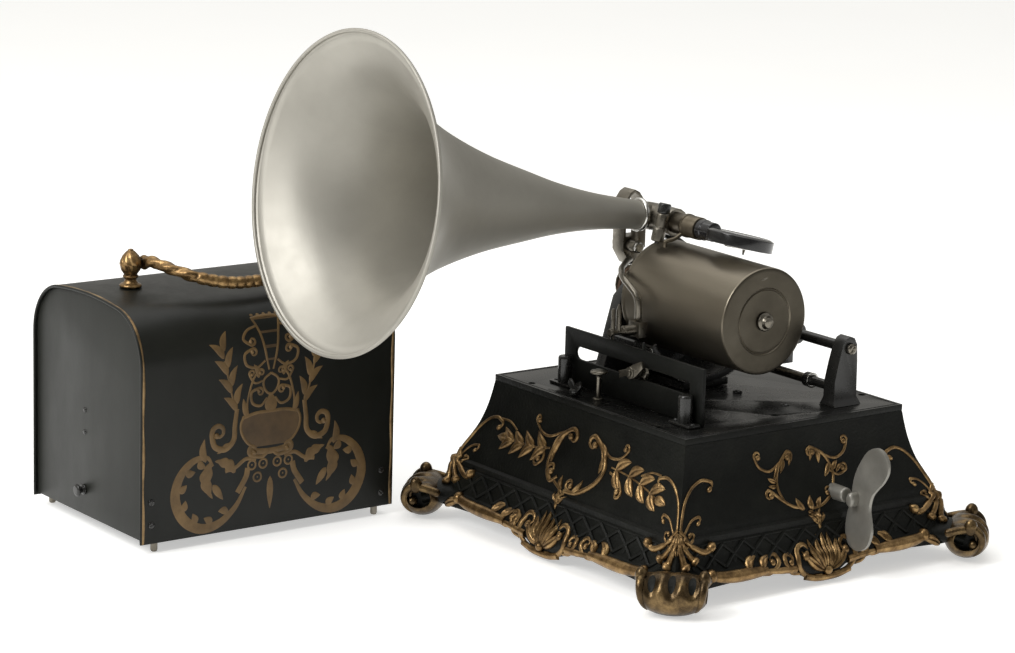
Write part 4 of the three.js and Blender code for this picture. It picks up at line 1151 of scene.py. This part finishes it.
def cover_ends():
    for side, s in (("near", -1), ("far", 1)):
        plate = prism(arch(SHEET + 0.2, COVER_FOOT + 2), 0, SHEET, 0.4)
        verts = [Vector((v.x, s * (HY - END_INSET - SHEET + v.z), v.y)) for v in plate.verts]
        Shape().add(verts, plate.faces).make(f"cover_end_panel_{side}", END_ENAMEL, "cover", at=COVER,
                                             replaces=(f"cover_end_{side}",), slot="enamel")
        # the wrapper's edge folded round a wire
        fold = tube([Vector((p.x, s * (HY - 0.9), p.y)) for p in arch(0.9, COVER_FOOT)], 1.3, 10, 2)
        fold.make(f"cover_fold_{side}", ENAMEL, "cover", at=COVER, slot="enamel")
        seam = Relief(lambda u, h, lift, s=s: on_arch(u, s * (HY - h), lift), sink=0.15)
        seam.stem([(u, 2.2 + 0.25 * math.sin(u * 0.11)) for u in np.linspace(-1, 1, 90) * ARCH_HALF],
                  lambda t: 1.25 + 0.3 * math.sin(60 * t), 0.35, 2, 4)
        seam.make(f"cover_gilt_line_{side}", GILT_EDGE, "cover", at=COVER)


ARCH_POINTS = arch(0, COVER_FOOT)
ARCH_SUM = [0.0]
for near_point, far_point in zip(ARCH_POINTS, ARCH_POINTS[1:]):
    ARCH_SUM.append(ARCH_SUM[-1] + (far_point - near_point).length)
ARCH_HALF = ARCH_SUM[-1] / 2 - 0.5


def on_arch(u, y, lift):
    """A point on the cover's outside at distance u round from the crown, towards +X."""
    s = ARCH_SUM[-1] / 2 + u
    i = int(np.clip(np.searchsorted(ARCH_SUM, s) - 1, 0, len(ARCH_POINTS) - 2))
    a, b = ARCH_POINTS[i], ARCH_POINTS[i + 1]
    t = (s - ARCH_SUM[i]) / max(1e-6, ARCH_SUM[i + 1] - ARCH_SUM[i])
    d = (b - a).normalized()
    p = a + (b - a) * t + Vector((-d.y, d.x)) * lift
    return Vector((p.x, y, p.y))


def cover_decal():
    """Flat transfer on the +X side: a covered bowl on a stand, lyre scrolls above, laurel and
    acanthus scrolls either side. The bowl and the field above it are a darker brown."""
    art = Relief(cover_side, sink=0.1)
    shade = Relief(cover_side, sink=0.1)
    for s in (-1, 1):
        def leaf(base, tip, width, bend=0.0, lobes=0, s=s):
            art.leaf(*flip(s, base, tip), width, 0.25, bend=bend * s, vein=0, lobes=lobes)

        def line(width, ball, *points, hand=1, s=s):
            art.curl(flip(s, *points), width, ball=ball, turns=0.9, hand=hand * s, height=0.16)

        # big acanthus scroll at each lower corner
        big = flip(s, (24, 44), (34, 28), (50, 16), (68, 14), (84, 24), (92, 42), (88, 60), (76, 72),
                   (62, 74), (56, 66))
        art.stem(big, lambda t: 1.3 + 3.4 * math.sin(PI * min(1, t * 1.05)) ** 1.1, 0.05, 6, 4)
        path = curve(big, 8)
        for t in (0.16, 0.27, 0.38, 0.49, 0.60, 0.71, 0.82):
            k = int(t * (len(path) - 1))
            p = path[k]
            d = (path[k + 1] - path[k - 1]).normalized()
            inward = Vector((-d.y, d.x)) * s
            art.leaf(p + inward * 2, p + inward * 10 + d * 6, 3.4, 0.25, bend=0.14 * s, vein=0)
        leaf((63, 70), (64, 90), 3.4, bend=-0.12)
        leaf((58, 70), (56, 38), 6.4, bend=0.18, lobes=3)
        leaf((56, 50), (46, 36), 3.4)
        # arm from the stand, with a lobed leaf
        art.stem(flip(s, (14, 66), (24, 68), (34, 62), (44, 60)), 1.7, 0.1, 6, 4)
        leaf((34, 58), (54, 70), 5.4, bend=0.12, lobes=3)
        # laurel and its curl
        line(2.6, 2.6, (33, 112), (35, 98), (36, 86), (44, 79), (54, 82), (57, 92))
        leaf((36, 84), (52, 76), 3.4, lobes=2)
        laurel_line = flip(s, (33, 108), (38, 124), (42, 140), (46, 154))
        art.stem(laurel_line, 0.9, 0.15, 6, 4)
        for p in laurel_line:
            q = Vector(p)
            art.leaf(q + Vector((0, 2)), q + Vector((s * 13, 15)), 3.3, 0.25, bend=0.12 * s, vein=0)
            art.leaf(q + Vector((0, 8)), q + Vector((-s * 5, 25)), 3.2, 0.25, bend=-0.12 * s, vein=0)
        # lyre scrolls above the bowl
        line(1.3, 1.8, (4, 118), (10, 112), (18, 115), (19, 124), (12, 127))
        line(1.1, 1.5, (22, 104), (23, 116), (18, 134), (12, 142))
        line(1.1, 1.5, (8, 133), (16, 132), (21, 139))
        line(1.3, 1.8, (6, 150), (14, 145), (24, 148), (26, 157), (19, 161))
        line(1.3, 1.8, (12, 180), (21, 177), (26, 170), (20, 165), hand=-1)
        art.stem(flip(s, (4, 150), (6.5, 162), (9, 174), (13, 187)), 1.1, 0.16, 6, 4)
        leaf((12, 136), (17, 148), 2.6, bend=0.1)
        leaf((24, 104), (27, 120), 2.6)
        art.stem(flip(s, (2, 142), (4, 150)), 0.9, 0.15, 6, 4)
        # stand under the bowl
        line(1.8, 2.4, (2, 72), (8, 68), (18, 70))
        for u, h in ((7, 62), (18, 62), (12.5, 51)):
            art.stem([(s * u + 3.8 * math.cos(q), h + 3.8 * math.sin(q))
                      for q in np.linspace(0, 2 * PI, 13)], 0.9, 0.2, 3, 4)
            art.ball((s * u, h), 1.9, 0.22)
        art.stem(flip(s, (22, 60), (24, 52), (32, 40)), 2.6, 0.08, 6, 4)
    art.stem([(-14, 187), (-6, 188.5), (6, 188.5), (14, 187)], 1.3, 0.16, 6, 4)
    for u in (-12, -6, 0, 6, 12):
        art.ball((u, 190.5), 2.2, 0.2)
    art.stem([(0, 139), (6, 135), (7.5, 130), (5, 124), (0, 121), (-5, 124), (-7.5, 130), (-6, 135),
              (0, 139)], 1.1, 0.14, 6, 4)
    art.leaf((0, 50), (0, 22), 3.2, 0.25, vein=0)
    art.ball((0, 52), 4.0, 0.2)
    art.stem([(-22, 74), (0, 72), (22, 74)], 2.6, 0.08, 6, 4)
    art.stem([(-28, 103), (-14, 106), (0, 106), (14, 106), (28, 103)], 1.6, 0.1, 6, 4)
    # the bowl: widths by height
    rows = curve([(16, 77), (23, 82), (28, 90), (29, 98), (26, 105)], 4)
    shade.loft([[cover_side(-p.x, p.y, -0.05), cover_side(-p.x, p.y, 0.10), cover_side(0, p.y, 0.12),
                 cover_side(p.x, p.y, 0.10), cover_side(p.x, p.y, -0.05)] for p in rows])
    for s in (-1, 1):
        art.stem(flip(s, *rows), 1.3, 0.2, 2, 4)
    art.leaf((0, 105), (0, 122), 6.0, 0.22, vein=0)
    art.make("cover_transfer", DECAL, "cover", at=COVER, angle=60)
    shade.loft([[cover_side(-w, h, 0.02), cover_side(-w, h, 0.10), cover_side(w, h, 0.10),
                 cover_side(w, h, 0.02)] for h, w in ((150, 3.6), (162, 6.2), (174, 8.8), (187, 12.6))])
    shade.make("cover_transfer_shade", DECAL_DARK, "cover", at=COVER, angle=60)


BAIL_Z = 223  # height of the handle's pins
BAIL_Y = 69  # half the distance between the handle's ends
FINIAL_Y = 82
PIN_Y = 73


def cover_fittings():
    lathe("cover_knob_turned", [(0, -5.5), (3.4, -5.5), (5.0, -4.6), (5.3, -3.2), (3.2, -1.6), (2.6, 0.8),
                                (4.6, 1.4), (4.6, 2.7), (0, 2.7)], GLOSS, "cover", "y",
          (-8, -HY, 32), 0.5, 48, origin=COVER, replaces=("cover_knob",), slot="black")
    panel = -HY + END_INSET
    for i, z in enumerate((82, 101)):
        turn = Matrix.Translation(Vector((-7, panel, z))) @ Matrix.Rotation(PI / 2, 4, "X")
        lathe(f"cover_rivet_{i + 1}", [(0, -0.5), (2.4, -0.5), (2.2, 0.5), (1.2, 1.1), (0, 1.2)], GLOSS,
              "cover", seg=32, turn=turn, origin=COVER)
    for i, (y, z) in enumerate(((-HY + 10, 24), (-HY + 10, 43), (HY - 12, 20), (HY - 12, 40))):
        screw(f"cover_screw_{i + 1}", (HX, y, z), 2.8, GLOSS, "cover", 1.3, 0.3 + i, "x", COVER)
        back = Matrix.Translation(Vector((-HX, -y, z))) @ Matrix.Rotation(PI, 4, "Z") @ AXES["x"]
        screw(f"cover_back_screw_{i + 1}", (0, 0, 0), 2.8, GLOSS, "cover", 1.3, 0.3 + i, origin=COVER,
              turn=back)
    # finials: a turned foot and a fluted bud
    for side, s in (("near", -1), ("far", 1)):
        section = [(0, COVER_TOP + 0.3), (9, COVER_TOP + 0.3), (9.6, COVER_TOP + 1.6), (9, COVER_TOP + 3),
                   (6.4, COVER_TOP + 4), (5.0, COVER_TOP + 6), (4.7, COVER_TOP + 7.5),
                   (6.6, COVER_TOP + 9), (6.6, COVER_TOP + 10.2), (5.0, COVER_TOP + 11),
                   (7.6, BAIL_Z - 5), (9.0, BAIL_Z), (8.6, BAIL_Z + 3), (6.6, BAIL_Z + 7),
                   (3.6, BAIL_Z + 10.5), (2.4, BAIL_Z + 11.5), (2.2, BAIL_Z + 12.4), (0, BAIL_Z + 13)]

        def buds(a, z):
            if z < BAIL_Z - 9 or z > BAIL_Z + 11:
                return 1.0
            return 1 + 0.13 * abs(math.cos(4 * a + 0.22 * (z - BAIL_Z))) - 0.06
        lathe(f"finial_bud_{side}", section, GILT, "cover", "z", (0, s * FINIAL_Y, 0), 0.7, 96, buds,
              origin=COVER, replaces=(f"handle_finial_{side}",), slot="gilt")
        turn = Matrix.Translation(Vector((0, s * PIN_Y, BAIL_Z))) @ AXES["y"]
        lathe(f"finial_pin_{side}", [(0, -7.5), (1.5, -7.5), (1.5, 7.5), (0, 7.5)], GILT, "cover",
              seg=20, turn=turn, origin=COVER)


def bail():
    """The swinging handle: leaf-wrapped ends and a beaded grip."""
    half = [(0, -BAIL_Y, BAIL_Z), (14, -BAIL_Y, BAIL_Z + 2.5), (34, -61, BAIL_Z - 1), (51, -45, 216.5),
            (58, -22, 211.8)]
    line = half + [(59.5, 0, 210.8)] + [(x, -y, z) for x, y, z in reversed(half)]
    path = curve(line, 20)
    n = len(path)
    rings = []
    side = None
    sides = 24
    for i, p in enumerate(path):
        t = i / (n - 1)
        d = (path[min(i + 1, n - 1)] - path[max(i - 1, 0)]).normalized()
        side = d.cross(UP).normalized() if side is None else side
        side = (side - d * side.dot(d)).normalized()
        over = d.cross(side)
        ring = []
        grip = abs(t - 0.5) < 0.21
        for k in range(sides):
            a = 2 * PI * k / sides
            if grip:  # twelve beads
                r = 4.5 + 0.9 * abs(math.sin(PI * (t - 0.29) / 0.42 * 12)) ** 0.6
            else:
                twist = abs(math.sin(1.5 * a + 46 * t))
                r = 3.6 + 1.5 * twist ** 0.8 + 0.4 * math.sin(80 * t)
            if i in (0, n - 1):
                r = 1.0
            ring.append(p + side * r * math.cos(a) + over * r * math.sin(a))
        rings.append(ring)
    shape = Shape().loft(rings)
    for s in (-1, 1):
        knob = revolve(rounded([(0, -4.2), (5, -3.2), (6.6, 0), (5, 3.2), (0, 4.2)], 1.4, 4), 32)
        turned = AXES["y"].to_3x3()
        shape.add([turned @ v + Vector((0, s * BAIL_Y, BAIL_Z)) for v in knob.verts], knob.faces)
    shape.make("bail_cast", GILT, "handle", at=COVER, replaces=("handle_bail",), slot="gilt", angle=55)


# ---------------------------------------------------------------- stage
CAMERA_AT = Vector((2184.6, -1638.3, 789.0))
CAMERA_TURN = (53.35, 12.616, 1.634)  # yaw, downward pitch and roll, in degrees
LENS = 118.53
FLOOR_RADII = (0.001, 0.6, 1.5, 4, 12)  # metres
AIM = Vector((0, 0, 0.12))  # where the lamps point, in metres


def camera():
    data = bpy.data.cameras.new("camera")
    data.sensor_width = 36
    data.lens = LENS
    data.clip_end = 50
    cam = bpy.data.objects.new("camera", data)
    bpy.context.scene.collection.objects.link(cam)
    yaw, pitch, roll = (math.radians(a) for a in CAMERA_TURN)
    forward = Vector((-math.sin(yaw) * math.cos(pitch), math.cos(yaw) * math.cos(pitch), -math.sin(pitch)))
    right = Vector((math.cos(yaw), math.sin(yaw), 0))
    up = right.cross(forward)
    x = right * math.cos(roll) + up * math.sin(roll)
    y = up * math.cos(roll) - right * math.sin(roll)
    turn = Matrix((x, y, -forward)).transposed().to_4x4()
    turn.translation = CAMERA_AT * MM
    cam.matrix_world = turn
    bpy.context.scene.camera = cam
    return right, forward


def area(name, at, size, power, size_y=None):
    data = bpy.data.lights.new(name, "AREA")
    data.shape = "RECTANGLE" if size_y else "SQUARE"
    data.size = size
    if size_y:
        data.size_y = size_y
    data.energy = power
    lamp = bpy.data.objects.new(name, data)
    bpy.context.scene.collection.objects.link(lamp)
    lamp.location = at
    lamp.rotation_euler = (AIM - at).to_track_quat("-Z", "Y").to_euler()


def stage():
    right, forward = camera()
    seg = 64
    verts = [(r * math.cos(2 * PI * k / seg), r * math.sin(2 * PI * k / seg), -0.0004)
             for r in FLOOR_RADII for k in range(seg)]
    faces = [[i * seg + k, i * seg + (k + 1) % seg, (i + 1) * seg + (k + 1) % seg, (i + 1) * seg + k]
             for i in range(len(FLOOR_RADII) - 1) for k in range(seg)]
    mesh = bpy.data.meshes.new("floor")
    mesh.from_pydata(verts, [], faces)
    floor = show(mesh)
    pale = finish("pale_floor", [(0.82, 0.82, 0.81), (0.84, 0.84, 0.83), (0.86, 0.86, 0.85)],
                  rough=(0.7, 0.85), patch=2, bump=0.0, specular=0.2)
    glow = pale.node_tree.nodes["Principled BSDF"]
    glow.inputs["Emission Color"].default_value = (1, 1, 0.99, 1)
    glow.inputs["Emission Strength"].default_value = 0.5
    mesh.materials.append(pale)
    world = bpy.data.worlds.new("studio")
    bpy.context.scene.world = world
    world.use_nodes = True
    nodes, links = world.node_tree.nodes, world.node_tree.links
    coords = nodes.new("ShaderNodeTexCoord")
    split = nodes.new("ShaderNodeSeparateXYZ")
    links.new(coords.outputs["Generated"], split.inputs["Vector"])
    shade = ramp(nodes, links, split.outputs["Z"], [(0.0, (0.30, 0.295, 0.285)), (0.25, (0.42, 0.415, 0.40)),
                                                    (0.7, (0.62, 0.62, 0.61)), (1.0, (0.8, 0.8, 0.79))])
    across = nodes.new("ShaderNodeVectorMath")
    across.operation = "DOT_PRODUCT"
    across.inputs[1].default_value = (0.97, 0.24, 0)
    links.new(coords.outputs["Generated"], across.inputs[0])
    sideways = nodes.new("ShaderNodeMapRange")
    sideways.inputs["From Min"].default_value = -1
    links.new(across.outputs["Value"], sideways.inputs["Value"])
    falloff = ramp(nodes, links, sideways.outputs["Result"],
                   [(0.0, (1.0, 0.985, 0.95)), (0.35, (0.78, 0.765, 0.735)), (0.62, (0.30, 0.295, 0.28)),
                    (1.0, (0.16, 0.157, 0.15))])
    product = nodes.new("ShaderNodeMix")
    product.data_type = "RGBA"
    product.blend_type = "MULTIPLY"
    product.inputs["Factor"].default_value = 1
    links.new(shade, product.inputs[6])
    links.new(falloff, product.inputs[7])
    links.new(product.outputs[2], nodes["Background"].inputs["Color"])
    nodes["Background"].inputs["Strength"].default_value = 1.35
    area("window", AIM - right * 1.7 - forward * 1.2 + UP * 1.6, 1.3, 50, size_y=1.6)
    area("fill", AIM + right * 2.2 - forward * 0.4 + UP * 1.0, 1.6, 3)
    area("above", AIM + forward * 0.5 + UP * 2.4, 2.2, 18)
    scene = bpy.context.scene
    scene.view_settings.view_transform = "Standard"
    scene.view_settings.exposure = 0.0


base()
mandrel()
rod_and_posts()
carriage()
sound_parts()
horn()
key()
motor()
cover_shell()
cover_ends()
cover_decal()
cover_fittings()
bail()
stage()
